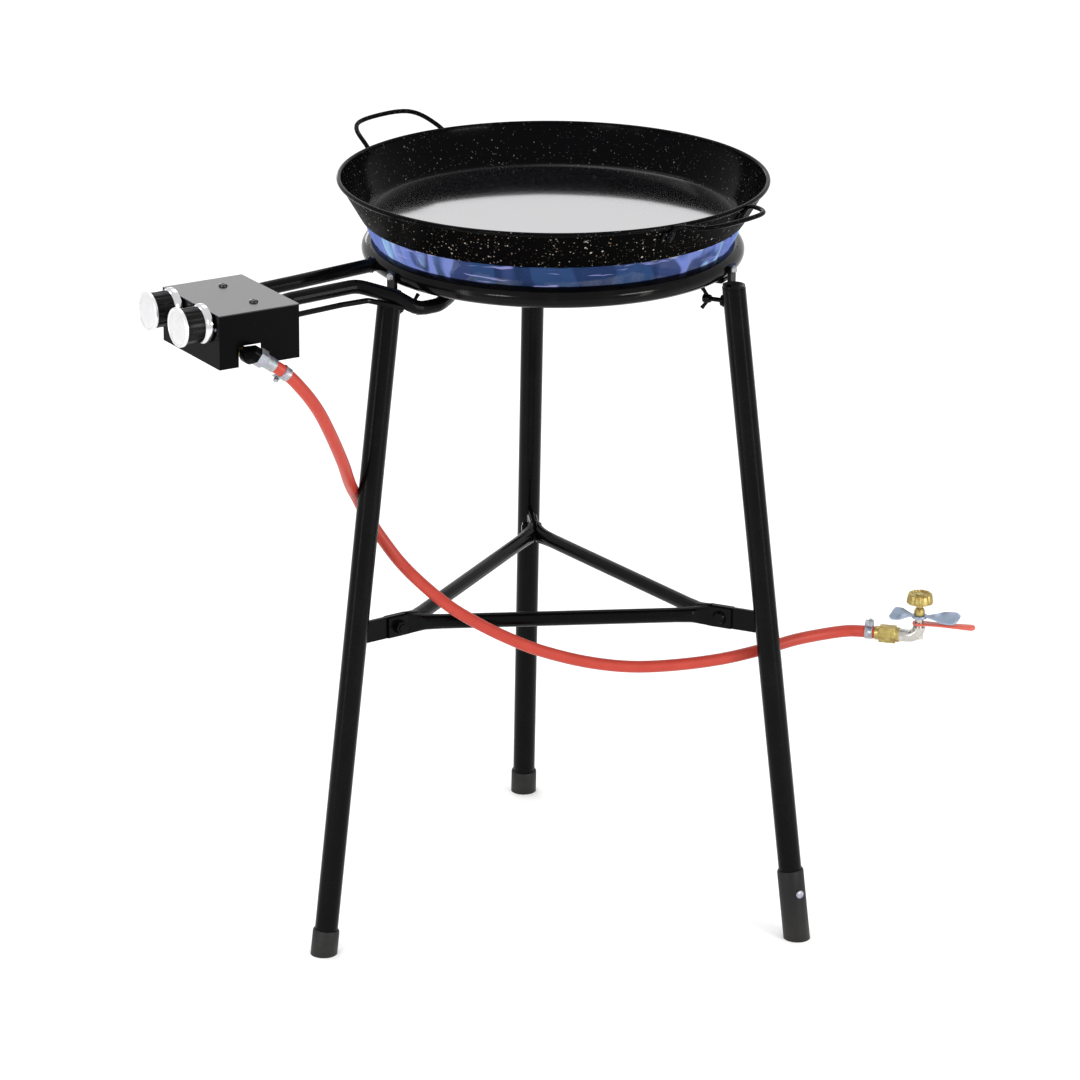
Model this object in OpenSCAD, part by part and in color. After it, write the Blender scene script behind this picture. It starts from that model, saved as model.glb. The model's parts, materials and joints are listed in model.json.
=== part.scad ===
// Outdoor gas cooking set: a three-legged stand, a two-ring burner with its control box,
// an enamelled pan, and the gas hose with the cylinder valve on its end.
// Origin: on the floor, under the axis of the burner rings.

/* [Stand] */
// Radius of the circle on which the leg axes meet the floor
leg_foot_radius = 298; // [290:1:306]
// Angle at which each leg leans inward
leg_splay = 7; // [6.5:0.1:7.5]
// Outside diameter of a leg tube
leg_d = 25; // [24:0.5:26]
// Wall of a leg tube
leg_wall = 1.5; // [1.2:0.1:2.5]
// Height of the level cut at the top of each leg
leg_top_z = 727; // [700:1:760]
// Outside diameter of a rubber foot cap
foot_cap_d = 29; // [28:0.5:33]
// Height of a rubber foot cap
foot_cap_h = 28; // [20:1:40]
// Length of the sliding levelling foot
level_foot_h = 80; // [70:1:95]
// Running clearance of the levelling foot on its leg
level_foot_clearance = 0.08; // [0.05:0.01:0.1]

/* [Braces] */
// Height of the brace triangle
brace_z = 358; // [340:1:380]
// Distance from a leg's axis in to the corner where the lines of two brace tubes meet
brace_inset = 73.77; // [70:0.01:78]
// Diameter of a brace tube
brace_d = 16; // [14:0.5:18]
// Thickness of a welded bracket plate
plate_t = 5; // [4:0.5:6]
// Height of a welded bracket plate
plate_h = 24; // [22:0.5:26]
// Thickness of the flattened brace ends
tab_t = 3; // [2.5:0.1:3.5]
// Diameter of the brace bolts
brace_bolt_d = 8; // [6:0.5:8]

/* [Burner] */
// Centre radius of the outer ring
outer_ring_r = 193; // [190:1:196]
// Centre radius of the inner ring
inner_ring_r = 100; // [90:1:110]
// Diameter of the ring tubes
ring_d = 22; // [20:0.5:24]
// Wall of the ring tubes
ring_wall = 1.5; // [1.2:0.1:2]
// Height of the ring tubes' centre above the leg tops
ring_lift = 19; // [18:0.5:21]
// Flame ports in the outer ring
outer_ports = 36; // [24:1:48]
// Flame ports in the inner ring
inner_ports = 18; // [12:1:24]
// Diameter of a flame port
port_d = 2.4; // [1.6:0.1:3]
// Diameter of the mounting pegs
peg_d = 13; // [11:0.5:14]
// Length of a mounting peg below its collar
peg_length = 37; // [34:1:45]
// Diameter of the feed tubes
feed_d = 15; // [13:0.5:16]
// Wall of the feed tubes
feed_wall = 1.5; // [1.2:0.1:2]
// Diameter of the rod that steadies the control box
rod_d = 6; // [5:0.5:8]

/* [Wing screws] */
// Diameter of a wing screw's shank
wing_shank_d = 5; // [4:0.5:6]
// Distance of a wing screw's axis below the leg top
wing_drop = 16; // [14:0.5:20]
// Running clearance of turning screws and spindles
turn_clearance = 0.08; // [0.05:0.01:0.1]

/* [Control box] */
// Length of the control box along the arm
box_l = 92; // [88:1:96]
// Width of the control box
box_w = 123; // [118:1:128]
// Height of the control box
box_h = 57; // [54:1:60]
// Height of the box top above the rings' centre
box_rise = 11; // [9:0.5:13]
// Sheet thickness of the box
box_sheet = 1.5; // [1:0.1:2]
// Distance between the two knobs
knob_pitch = 66; // [60:1:70]
// Diameter of a knob's grip
knob_grip_d = 37; // [34:0.5:40]
// Diameter of a knob's face disc and of its skirt
knob_face_d = 41; // [39:0.5:43]
// Diameter of a tap body
tap_d = 18; // [16:0.5:20]

/* [Pan] */
// Radius of the pan's rim
pan_rim_r = 227.5; // [220:0.5:235]
// Radius of the pan's base
pan_base_r = 204; // [198:1:210]
// Depth of the pan
pan_depth = 42; // [34:1:48]
// Thickness of the pan's sheet
pan_sheet = 2; // [1.5:0.1:3]
// Diameter of the rolled rim and of the handle rod
pan_bead_d = 5; // [4:0.5:6]
// Height of the pan's underside above the rings' centre
pan_lift = 34; // [32:0.5:42]

/* [Gas hose and valve] */
// Diameter of the gas hose
hose_d = 13; // [12:0.5:14]
// Diameter of the valve's handwheel
wheel_d = 29; // [26:0.5:32]
// Reach of the valve's wing nut
wing_nut_reach = 37; // [30:1:40]

/* [Hidden] */
$fn = 64;

left_az = 210;
right_az = 330;
rear_az = 90;
leg_azimuths = [left_az, right_az, rear_az];
burner_z = leg_top_z + ring_lift;
arm_angle = 28;
box_angle = 26;
box_at = [-350, -196];
over = 1;

// ---- vectors, bent routes and swept tubes ----
function unit(v) = v / norm(v);
function mix(a, b, t) = a + (b - a) * t;
function leg_r(z) = leg_foot_radius - z * tan(leg_splay);
function corner_bend(a, b, c, radius, steps) =
    let (d1 = unit(b - a), d2 = unit(c - b), turn = acos(min(1, d1 * d2)))
    turn < 0.5 ? [b] :
    let (start = b - d1 * radius * tan(turn / 2), inward = unit(d2 - d1 * cos(turn)))
    [for (k = [0:steps]) let (t = turn * k / steps)
        start + d1 * radius * sin(t) + inward * radius * (1 - cos(t))];
// The corners of a route, each rounded by an arc
function bent(p, radius, steps) = [p[0],
    for (i = [1:len(p) - 2]) each corner_bend(p[i - 1], p[i], p[i + 1], radius, steps),
    p[len(p) - 1]];
function lengthened(p, extra) = let (n = len(p) - 1) [p[0] - unit(p[1] - p[0]) * extra,
    for (i = [1:n - 1]) p[i], p[n] + unit(p[n] - p[n - 1]) * extra];
// A smooth curve through every point of a route
function curve_point(a, b, c, d, t) = 0.5 * (2 * b + (c - a) * t
    + (2 * a - 5 * b + 4 * c - d) * t * t + (3 * b - a - 3 * c + d) * t * t * t);
function curve(p, steps) = let (n = len(p) - 1) [
    for (i = [0:n - 1], k = [0:steps - 1])
        curve_point(p[max(i - 1, 0)], p[i], p[i + 1], p[min(i + 2, n)], k / steps),
    p[n]];
function tangent(p, i) = unit(p[min(i + 1, len(p) - 1)] - p[max(i - 1, 0)]);
// How much a flattened tube keeps its crown
crown = 0.01;
// One ring of a tube: half sizes a and b, flattened where squash is above 1
function section(at, along, up_ref, a, b, squash, sides) =
    let (side = unit(cross(up_ref, along)), up = cross(along, side))
    [for (k = [0:sides - 1]) let (t = 360 * k / sides)
        at + a * (1 - crown * (squash - 1) * pow(sin(t), 2)) * max(-1, min(1, squash * cos(t))) * side
            + b * sin(t) * up];
function tube_faces(rings, sides) = concat(
    [[for (k = [0:sides - 1]) k]],
    [for (i = [0:rings - 2], k = [0:sides - 1]) let (j = (k + 1) % sides)
        [i * sides + k, (i + 1) * sides + k, (i + 1) * sides + j]],
    [for (i = [0:rings - 2], k = [0:sides - 1]) let (j = (k + 1) % sides)
        [i * sides + k, (i + 1) * sides + j, i * sides + j]],
    [[for (k = [sides - 1:-1:0]) (rings - 1) * sides + k]]);
module tube_along(p, r, up_ref = [0, 0, 1], sides = 16) {
    polyhedron(points = [for (i = [0:len(p) - 1])
        each section(p[i], tangent(p, i), up_ref, r, r, 1, sides)],
        faces = tube_faces(len(p), sides), convexity = 8);
}
module pipe_along(p, d, wall) {
    difference() {
        tube_along(p, d / 2);
        tube_along(lengthened(p, over), d / 2 - wall);
    }
}
module along_leg(az) {
    rotate([0, 0, az]) translate([leg_foot_radius, 0, 0]) rotate([0, -leg_splay, 0]) children();
}
module arm_frame() {
    rotate([0, 0, arm_angle]) translate([0, 0, burner_z]) children();
}
// Along X from point at
module rod_x(at, d, l) {
    translate(at) rotate([0, 90, 0]) cylinder(d = d, h = l);
}
module below(z) {
    translate([-500, -500, z - 200]) cube([1000, 1000, 200]);
}
module hex_prism(across, h) {
    cylinder(d = across / cos(30), h = h, $fn = 6);
}

// ---- legs and feet ----
leg_bore = leg_d - 2 * leg_wall;
cap_floor = 4;
cap_fit = 0.1;
leg_axis_length = leg_top_z / cos(leg_splay);
module leg(az, start) {
    color("#0b0b0d") difference() {
        along_leg(az) translate([0, 0, start]) difference() {
            cylinder(d = leg_d, h = leg_axis_length - start + 10);
            translate([0, 0, -over]) cylinder(d = leg_bore, h = leg_axis_length + 12);
        }
        rotate([0, 0, az]) translate([leg_r(leg_top_z), 0, leg_top_z]) cylinder(d = 60, h = 40);
        rotate([0, 0, az]) rod_x([leg_r(wing_z) - leg_d, 0, wing_z], wing_hole_d, leg_d);
    }
}
module leg_left() { leg(left_az, cap_floor); }
module leg_right() { leg(right_az, cap_floor + 0.3); }
module leg_rear() { leg(rear_az, cap_floor); }

module foot_sleeve(az, d, h, bore) {
    difference() {
        along_leg(az) translate([0, 0, -cap_floor]) difference() {
            union() {
                cylinder(d = d, h = h + cap_floor - 2);
                translate([0, 0, h + cap_floor - 2]) cylinder(d1 = d, d2 = d - 2, h = 2);
            }
            translate([0, 0, 2 * cap_floor]) cylinder(d = bore, h = h + over);
        }
        below(0);
    }
}
module foot_cap_left() { color("#111112") foot_sleeve(left_az, foot_cap_d, foot_cap_h, leg_d + cap_fit); }
module foot_cap_rear() { color("#111112") foot_sleeve(rear_az, foot_cap_d, foot_cap_h, leg_d + cap_fit); }
foot_lock_s = 54;
foot_lock_d = 6;
// Turned so that the lock screw faces out to the front right
foot_lock_turn = -35;
module at_foot_lock() {
    along_leg(right_az) rotate([0, 0, foot_lock_turn])
        translate([leg_d / 2 + 0.3, 0, foot_lock_s]) rotate([0, 90, 0]) children();
}
module levelling_foot() {
    color("#0d0d10") difference() {
        foot_sleeve(right_az, foot_cap_d, level_foot_h, leg_d + 2 * level_foot_clearance);
        at_foot_lock() translate([0, 0, -over]) cylinder(d = foot_lock_d, h = 10);
    }
}
module foot_lock_screw() {
    color("#5b5b66") at_foot_lock() {
        cylinder(d = foot_lock_d, h = foot_cap_d / 2 - leg_d / 2 + 0.2);
        translate([0, 0, foot_cap_d / 2 - leg_d / 2]) cylinder(d = 9, h = 1.2);
        translate([0, 0, foot_cap_d / 2 - leg_d / 2 + 1.2]) cylinder(d1 = 9, d2 = 6, h = 1);
    }
}

// ---- brace triangle ----
plate_inner_r = leg_r(brace_z) - 62.54;
bolt_r = leg_r(brace_z) - 52.04;
tab_end_r = leg_r(brace_z) - 39.04;
brace_bend_r = 40;
tab_offset = (plate_t + tab_t) / 2;
brace_corner_r = leg_r(brace_z) - brace_inset;
brace_offset = brace_corner_r * sin(30) + tab_offset * cos(30);
brace_hole_d = brace_bolt_d + 0.4;
module at_bracket(az) {
    rotate([0, 0, az]) translate([bolt_r, 0, brace_z]) rotate([90, 0, 0]) children();
}
module leg_brackets() {
    color("#0b0b0d") for (az = leg_azimuths) difference() {
        rotate([0, 0, az]) translate([plate_inner_r, -plate_t / 2, brace_z - plate_h / 2])
            cube([leg_r(brace_z) - plate_inner_r, plate_t, plate_h]);
        along_leg(az) cylinder(d = leg_d, h = leg_axis_length);
        at_bracket(az) cylinder(d = brace_hole_d, h = 40, center = true);
    }
}
// One end of a brace lying along X, from its flat tab to the end of its bend
brace_steps = 6;
tab_end = [tab_end_r * cos(30) - tab_offset / 2, -tab_end_r / 2 - tab_offset * cos(30)];
brace_end = concat(
    [tab_end],
    corner_bend(tab_end, [brace_corner_r * cos(30) - tab_offset / 2, -brace_offset],
        [0, -brace_offset], brace_bend_r, brace_steps),
    [[brace_corner_r * cos(30) - 30, -brace_offset]]);
brace_path = [for (q = brace_end) [q[0], q[1], brace_z],
    for (i = [len(brace_end) - 1:-1:0]) [-brace_end[i][0], brace_end[i][1], brace_z]];
function roundness(i) = let (n = len(brace_path) - 1, k = min(i, n - i))
    min(1, max(0, (k - 1) / (brace_steps + 1)));
tab_h = 23.6;
module brace(turn) {
    color("#0b0b0d") rotate([0, 0, turn]) difference() {
        polyhedron(points = [for (i = [0:len(brace_path) - 1]) let (t = roundness(i))
            each section(brace_path[i], tangent(brace_path, i), [0, 0, 1],
                mix(tab_t / 2, brace_d / 2, t), mix(tab_h / 2, brace_d / 2, t),
                mix(2.6, 1, t), 16)],
            faces = tube_faces(len(brace_path), 16), convexity = 6);
        for (az = [left_az, right_az]) at_bracket(az) cylinder(d = brace_hole_d, h = 40, center = true);
    }
}
module brace_front() { brace(0); }
module brace_right() { brace(120); }
module brace_left() { brace(-120); }
grip_t = plate_t + 2 * tab_t;
module brace_bolts() {
    color("#1a1a1d") for (az = leg_azimuths) at_bracket(az) {
        translate([0, 0, -grip_t / 2 - 7.5]) cylinder(d = brace_bolt_d, h = grip_t + 7.5);
        translate([0, 0, grip_t / 2]) cylinder(d1 = 16, d2 = 11, h = 4);
    }
}
module brace_nuts() {
    color("#1a1a1d") for (az = leg_azimuths) at_bracket(az) translate([0, 0, -grip_t / 2 - 6.5])
        difference() {
            hex_prism(13, 6.5);
            translate([0, 0, -over]) cylinder(d = brace_bolt_d, h = 9);
        }
}

// ---- wing screws in the leg tops ----
wing_z = leg_top_z - wing_drop;
wing_hole_d = wing_shank_d + 2 * turn_clearance;
boss_d = 12;
boss_l = 3;
peg_r = leg_r(leg_top_z) + 1.3;
// In a leg's own radial frame at the height of the wing screw, X outward
module at_wing(az) {
    rotate([0, 0, az]) translate([leg_r(wing_z), 0, wing_z]) children();
}
module wing_screw_bosses() {
    color("#0b0b0d") for (az = leg_azimuths) difference() {
        at_wing(az) rod_x([-leg_d / 2 - boss_l, 0, 0], boss_d, boss_l + 4);
        along_leg(az) cylinder(d = leg_d, h = leg_axis_length);
        at_wing(az) rod_x([-leg_d, 0, 0], wing_hole_d, leg_d);
    }
}
module wing_screw(az) {
    tip = peg_r - peg_d / 2 - 0.3 - leg_r(wing_z);
    head = -leg_d / 2 - boss_l - 13;
    color("#2a2a2e") at_wing(az) {
        rod_x([head, 0, 0], wing_shank_d, tip - head);
        difference() {
            rod_x([head - 8, 0, 0], 9, 9);
            rod_x([head - 9, 0, 0], 3, 3);
        }
        for (s = [-1, 1]) hull() {
            translate([head - 6, 0, s * 3]) rotate([0, 90, 0]) cylinder(d = 3.4, h = 5, $fn = 24);
            translate([head - 11, 0, s * 10]) rotate([0, 90, 0]) cylinder(d = 3, h = 6, $fn = 24);
        }
    }
}
module wing_screw_left() { wing_screw(left_az); }
module wing_screw_right() { wing_screw(right_az); }
module wing_screw_rear() { wing_screw(rear_az); }

// ---- burner rings and what carries them ----
module ring_solid(r, d) { rotate_extrude($fn = 128) translate([r, 0]) circle(d = d, $fn = 48); }
bolt_hole_d = 5;
support_in_r = outer_ring_r + ring_d / 2;
feed_join_n = 42;
inner_join_n = -8;
module burner_ring(r, ports, spread, phase) {
    translate([0, 0, burner_z]) difference() {
        ring_solid(r, ring_d);
        ring_solid(r, ring_d - 2 * ring_wall);
        for (i = [0:ports - 1]) rotate([0, 0, phase + 360 * i / ports]) translate([r, 0, 0])
            rotate([0, spread * (i % 2 == 0 ? 1 : -1), 0]) cylinder(d = port_d, h = ring_d, $fn = 16);
    }
}
module outer_ring() {
    color("#101012") difference() {
        burner_ring(outer_ring_r, outer_ports, 25, 5);
        arm_frame() rod_x([-outer_ring_r - 8, feed_join_n, 0], feed_d - 2 * feed_wall, 16);
        for (az = leg_azimuths) rotate([0, 0, az])
            rod_x([outer_ring_r, 0, burner_z], bolt_hole_d, ring_d);
    }
}
module inner_ring() {
    color("#101012") difference() {
        burner_ring(inner_ring_r, inner_ports, 25, 10);
        arm_frame() rod_x([-inner_ring_r - 12, inner_join_n, 0], feed_d - 2 * feed_wall, 14);
    }
}
strap_w = 20;
strap_t = 3;
module ring_straps() {
    color("#101012") for (az = [rear_az, right_az]) rotate([0, 0, az])
        translate([inner_ring_r - ring_d / 2, -strap_w / 2, burner_z - ring_d / 2 - strap_t])
            cube([outer_ring_r - inner_ring_r + ring_d / 2 + 6, strap_w, strap_t]);
}
collar_d = 24;
collar_t = 3;
module mounting_pegs() {
    color("#101012") for (az = leg_azimuths) rotate([0, 0, az]) {
        translate([peg_r, 0, leg_top_z - peg_length]) cylinder(d = peg_d, h = peg_length);
        translate([leg_r(leg_top_z), 0, leg_top_z]) cylinder(d = collar_d, h = collar_t);
    }
}
support_w = 14;
support_t = 4;
support_reach_r = 160;
pan_z = burner_z + pan_lift;
tab_rise = 5;
post_r = outer_ring_r - ring_d / 2 - 1;
// Each carrier: a bolted tab outside the ring, and a post inside it that bears the pan
module pan_supports() {
    color("#101012") for (az = leg_azimuths) rotate([0, 0, az]) {
        difference() {
            translate([support_in_r, -support_w / 2, leg_top_z + collar_t])
                cube([support_t, support_w, burner_z + tab_rise - leg_top_z - collar_t]);
            rod_x([support_in_r - over, 0, burner_z], bolt_hole_d, support_t + 2);
        }
        difference() {
            union() {
                translate([post_r, -support_w / 2, burner_z])
                    cube([support_t, support_w, pan_z - burner_z]);
                translate([support_reach_r, -support_w / 2, pan_z - support_t])
                    cube([post_r + support_t - support_reach_r, support_w, support_t]);
            }
            translate([0, 0, burner_z]) ring_solid(outer_ring_r, ring_d);
        }
    }
}
module support_bolts() {
    color("#8a8a90") for (az = leg_azimuths) rotate([0, 0, az]) {
        rod_x([support_in_r - 4, 0, burner_z], bolt_hole_d, 4 + support_t);
        translate([support_in_r + support_t, 0, burner_z]) rotate([0, 90, 0])
            cylinder(d1 = 9, d2 = 6, h = 3);
    }
}

// ---- feed tubes and rod; X along the arm, Y across it, Z from the rings' centre ----
mouth_x = -396;
outer_route = [[mouth_x, 24, -3], [-372, 24, -3], [-340, 30, -2], [-297, 29, 0],
    [-243, 36, 0], [-outer_ring_r, feed_join_n, 0]];
inner_route = [[mouth_x, -42, -3], [-376, -41, -3], [-343, -17, -2], [-255, -17, 0], [-222, -39, -11],
    [-200, -48, -26], [-172, -44, -27], [-148, -28, -25], [-128, -14, -10],
    [-inner_ring_r, inner_join_n, 0]];
rod_route = [[-364, -46, -10], [-285, -36, -11], [-252, -34, -12], [-228, -42, -19], [-216, -46, -23]];
module feed_tube_outer() {
    color("#0b0b0d") arm_frame() difference() {
        pipe_along(bent(outer_route, 60, 4), feed_d, feed_wall);
        ring_solid(outer_ring_r, ring_d);
    }
}
module feed_tube_inner() {
    color("#0b0b0d") arm_frame() difference() {
        pipe_along(bent(inner_route, 26, 3), feed_d, feed_wall);
        ring_solid(inner_ring_r, ring_d);
    }
}
module support_rod() {
    color("#0b0b0d") arm_frame() difference() {
        tube_along(bent(rod_route, 14, 4), rod_d / 2, [0, 0, 1], 12);
        tube_along(bent(inner_route, 26, 3), feed_d / 2);
    }
}

// ---- control box; X towards the rings, Y across, Z from the box top down ----
module box_frame() {
    translate([box_at[0], box_at[1], burner_z + box_rise]) rotate([0, 0, box_angle]) children();
}
sheet_gap = 0.3;
knob_drop = 14;
spindle_d = 8;
rail_drop = 45;
rail_d = 12;
rail_x = -box_l / 2 + 32;
notch_l = 26;
notch_x = rail_x - 10;
notch_top = 35;
screw_x = -box_l / 2 + 55;
screw_y = 33;
screw_d = 5;
screw_l = 5.5;
tap_front = -box_l / 2 + 4;
tap_l = 36;
knob_ys = [knob_pitch / 2, -knob_pitch / 2];
module box_cover() {
    color("#26262a") box_frame() difference() {
        translate([-box_l / 2, -box_w / 2, -box_h]) cube([box_l, box_w, box_h]);
        translate([-box_l / 2 + box_sheet, -box_w / 2 + box_sheet, -box_h - over])
            cube([box_l, box_w - 2 * box_sheet, box_h - box_sheet + over]);
        translate([notch_x, -box_w / 2 - over, -box_h - over])
            cube([notch_l, 4, box_h - notch_top + over]);
        for (y = knob_ys) rod_x([-box_l / 2 - over, y, -knob_drop], spindle_d + 2, 4);
        for (s = [-1, 1]) translate([screw_x, s * screw_y, -4]) cylinder(d = screw_d, h = 6);
        translate([-box_l / 2 - over, pin_y, -pin_drop]) rotate([0, 90, 0])
            cylinder(d = pin_d, h = 4);
    }
}
pin_y = -box_w / 2 + 7;
pin_drop = 16;
pin_d = 3;
module index_pins() {
    color("#d8d8dc") box_frame() rod_x([-box_l / 2 - 1.2, pin_y, -pin_drop], pin_d, 1.2 + box_sheet);
}
wall_in = box_w / 2 - box_sheet - sheet_gap;
back_lip = 6;
// Where a route of the arm crosses the box's rear wall, in the box's frame
module arm_in_box() {
    rotate([0, 0, -box_angle]) translate([-box_at[0], -box_at[1], -box_rise - burner_z])
        arm_frame() children();
}
module box_chassis() {
    color("#16161a") box_frame() difference() {
        union() {
            translate([box_l / 2 - back_lip, -wall_in, -box_h])
                cube([back_lip, 2 * wall_in, box_sheet]);
            translate([box_l / 2 - box_sheet, -wall_in, -box_h])
                cube([box_sheet, 2 * wall_in, box_h - box_sheet - sheet_gap]);
        }
        arm_in_box() {
            tube_along(bent(outer_route, 60, 4), feed_d / 2 + 0.4);
            tube_along(bent(inner_route, 26, 3), feed_d / 2 + 0.4);
            tube_along(bent(rod_route, 14, 4), rod_d / 2 + 0.05, [0, 0, 1], 12);
        }
    }
}
saddle_t = 10;
module tube_saddle() {
    color("#2c2c30") box_frame() difference() {
        translate([screw_x - saddle_t / 2, -box_w / 2 + 14, -box_sheet - 24])
            cube([saddle_t, box_w - 28, 24]);
        arm_in_box() {
            tube_along(bent(outer_route, 60, 4), feed_d / 2);
            tube_along(bent(inner_route, 26, 3), feed_d / 2);
        }
        for (s = [-1, 1]) translate([screw_x, s * screw_y, -14]) cylinder(d = screw_d, h = 20);
    }
}
module cover_screws() {
    color("#0a0a0b") box_frame() for (s = [-1, 1]) translate([screw_x, s * screw_y, 0]) {
        difference() {
            union() {
                cylinder(d = 9.4, h = 1.2);
                translate([0, 0, 1.2]) cylinder(d1 = 9.4, d2 = 6, h = 1.4);
            }
            translate([0, 0, 1.4]) for (a = [0, 90]) rotate([0, 0, a])
                cube([5, 1.1, 2.6], center = true);
        }
        translate([0, 0, -screw_l]) cylinder(d = screw_d, h = screw_l);
    }
}
module tap(y) {
    color("#b48a3c") box_frame() difference() {
        union() {
            rod_x([tap_front, y, -knob_drop], tap_d, tap_l);
            translate([tap_front + 6, y, -knob_drop]) rotate([90, 0, 90]) hex_prism(22, 8);
        }
        rod_x([tap_front - over, y, -knob_drop], spindle_d + 2 * turn_clearance, 15);
        rod_x([tap_front + tap_l - 9, y, -knob_drop], 5, 10);
    }
}
module tap_outer() { tap(knob_ys[0]); }
module tap_inner() { tap(knob_ys[1]); }
module jet(y) {
    color("#caa24a") box_frame() translate([0, y, -knob_drop]) difference() {
        union() {
            rod_x([tap_front + tap_l - 8, 0, 0], 5, 8);
            translate([tap_front + tap_l, 0, 0]) rotate([0, 90, 0]) hex_prism(8, 4);
            translate([tap_front + tap_l + 4, 0, 0]) rotate([0, 90, 0]) cylinder(d1 = 6, d2 = 3, h = 4);
        }
        rod_x([tap_front + tap_l - 9, 0, 0], 1.2, 20);
    }
}
module jet_outer() { jet(knob_ys[0]); }
module jet_inner() { jet(knob_ys[1]); }
inlet_y = -box_w / 2 - 6;
module gas_rail() {
    color("#b48a3c") box_frame() difference() {
        union() {
            translate([rail_x, knob_ys[0] + 8, -rail_drop]) rotate([90, 0, 0])
                cylinder(d = rail_d, h = knob_ys[0] + 8 - inlet_y - 8);
            for (y = knob_ys) translate([rail_x, y, -rail_drop])
                cylinder(d = 10, h = rail_drop - knob_drop);
        }
        for (y = knob_ys) rod_x([tap_front - over, y, -knob_drop], tap_d, tap_l + 2);
        translate([rail_x, knob_ys[0] + 5, -rail_drop]) rotate([90, 0, 0])
            cylinder(d = rail_d - 4, h = 200);
    }
}

// ---- knobs, along -X from the box's front face ----
knob_gap = 1.5;
skirt_l = 8;
grip_l = 20;
face_l = 4;
skirt_x = -box_l / 2 - knob_gap;
module spindle(y) {
    color("#c8c8cc") box_frame()
        rod_x([skirt_x - skirt_l - grip_l + 4, y, -knob_drop], spindle_d,
            skirt_l + grip_l - 4 + knob_gap + 4 + 12);
}
module spindle_outer() { spindle(knob_ys[0]); }
module spindle_inner() { spindle(knob_ys[1]); }
module skirt(y) {
    color("#dcdce0") box_frame() translate([skirt_x, y, -knob_drop]) rotate([0, -90, 0]) difference() {
        union() {
            cylinder(d = knob_face_d, h = skirt_l - 2);
            translate([0, 0, skirt_l - 2]) cylinder(d1 = knob_face_d, d2 = knob_grip_d, h = 2);
        }
        translate([0, 0, -over]) cylinder(d = spindle_d, h = skirt_l + 2);
    }
}
module skirt_outer() { skirt(knob_ys[0]); }
module skirt_inner() { skirt(knob_ys[1]); }
grip_flutes = 12;
module grip(y) {
    color("#0c0c0e") box_frame() translate([skirt_x - skirt_l, y, -knob_drop])
        rotate([0, -90, 0]) difference() {
            cylinder(d = knob_grip_d, h = grip_l);
            translate([0, 0, -over]) cylinder(d = spindle_d, h = grip_l - 4 + over);
            for (i = [0:grip_flutes - 1]) rotate([0, 0, 360 * i / grip_flutes])
                translate([knob_grip_d / 2 + 1.6, 0, -over]) cylinder(d = 5, h = grip_l + 2, $fn = 24);
        }
}
module grip_outer() { grip(knob_ys[0]); }
module grip_inner() { grip(knob_ys[1]); }
module face_disc(y) {
    color("#ededf0") box_frame() translate([skirt_x - skirt_l - grip_l, y, -knob_drop])
        rotate([0, -90, 0]) {
            cylinder(d = knob_face_d, h = face_l - 1);
            translate([0, 0, face_l - 1]) cylinder(d1 = knob_face_d, d2 = knob_face_d - 2, h = 1);
        }
}
module face_disc_outer() { face_disc(knob_ys[0]); }
module face_disc_inner() { face_disc(knob_ys[1]); }

// ---- gas inlet ----
tail_dir = unit([78, 25, -58]);
tail_l = 22;
// Turns +Z to the direction v
module aim(v) {
    rotate([0, acos(v[2] / norm(v)), atan2(v[1], v[0])]) children();
}
function rail_end() = [
    box_at[0] + (rail_x) * cos(box_angle) - (inlet_y + 8) * sin(box_angle),
    box_at[1] + (rail_x) * sin(box_angle) + (inlet_y + 8) * cos(box_angle),
    burner_z + box_rise - rail_drop];
hose_start = rail_end() + [27.5, -3.385, -12];
tail_root = hose_start - tail_dir * tail_l;
elbow_d = 17;
module inlet_elbow() {
    color("#141416") difference() {
        hull() {
            translate(rail_end()) rotate([90, 0, box_angle]) cylinder(d = elbow_d, h = 9, $fn = 32);
            translate(tail_root) aim(tail_dir) translate([0, 0, -7])
                cylinder(d = elbow_d, h = 7, $fn = 32);
        }
        translate(rail_end()) rotate([90, 0, box_angle]) translate([0, 0, -over])
            cylinder(d = rail_d - 4, h = 5 + over);
        hull() {
            translate(rail_end()) rotate([90, 0, box_angle]) translate([0, 0, 4]) cylinder(d = 7, h = 1);
            translate(tail_root) aim(tail_dir) translate([0, 0, -5]) cylinder(d = 7, h = 1);
        }
        translate(tail_root) aim(tail_dir) {
            translate([0, 0, -5]) cylinder(d = 7, h = 6);
            cylinder(d = 60, h = 40);
        }
    }
}
module hose_tail() {
    color("#8c8c90") translate(tail_root) aim(tail_dir) difference() {
        union() {
            hex_prism(17, 9);
            translate([0, 0, 9]) cylinder(d1 = 17, d2 = 14.6, h = 3);
            translate([0, 0, 12]) cylinder(d = 14.6, h = tail_l - 12);
        }
        translate([0, 0, -over]) cylinder(d = 6, h = tail_l + 2);
    }
}

// ---- gas hose: its route, chosen by hand; Z above the floor ----
hose_route = [hose_start, [-301, -257, 694], [-291, -252, 684], [-281, -246, 671],
    [-271, -238, 656], [-261, -226, 637], [-252, -211, 615], [-243, -192, 590],
    [-234, -168, 562], [-228, -142, 538], [-223, -118, 520], [-217, -99, 504],
    [-209, -88, 485], [-199, -84, 466], [-188, -85, 449], [-171, -89, 426],
    [-150, -97, 405], [-119, -107, 380], [-87, -114, 361], [-55, -118, 345],
    [-22, -119, 331], [26, -119, 317], [75, -117, 309], [124, -113, 308],
    [174, -107, 311], [218, -101, 318], [256, -92, 325], [290, -84, 328],
    [315, -82, 330], [331, -87, 331], [344, -92, 331]];
module gas_hose() {
    color("#d8604f") tube_along(curve(hose_route, 2), hose_d / 2, [0, 1, 0], 12);
}
clamp_w = 9;
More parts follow.
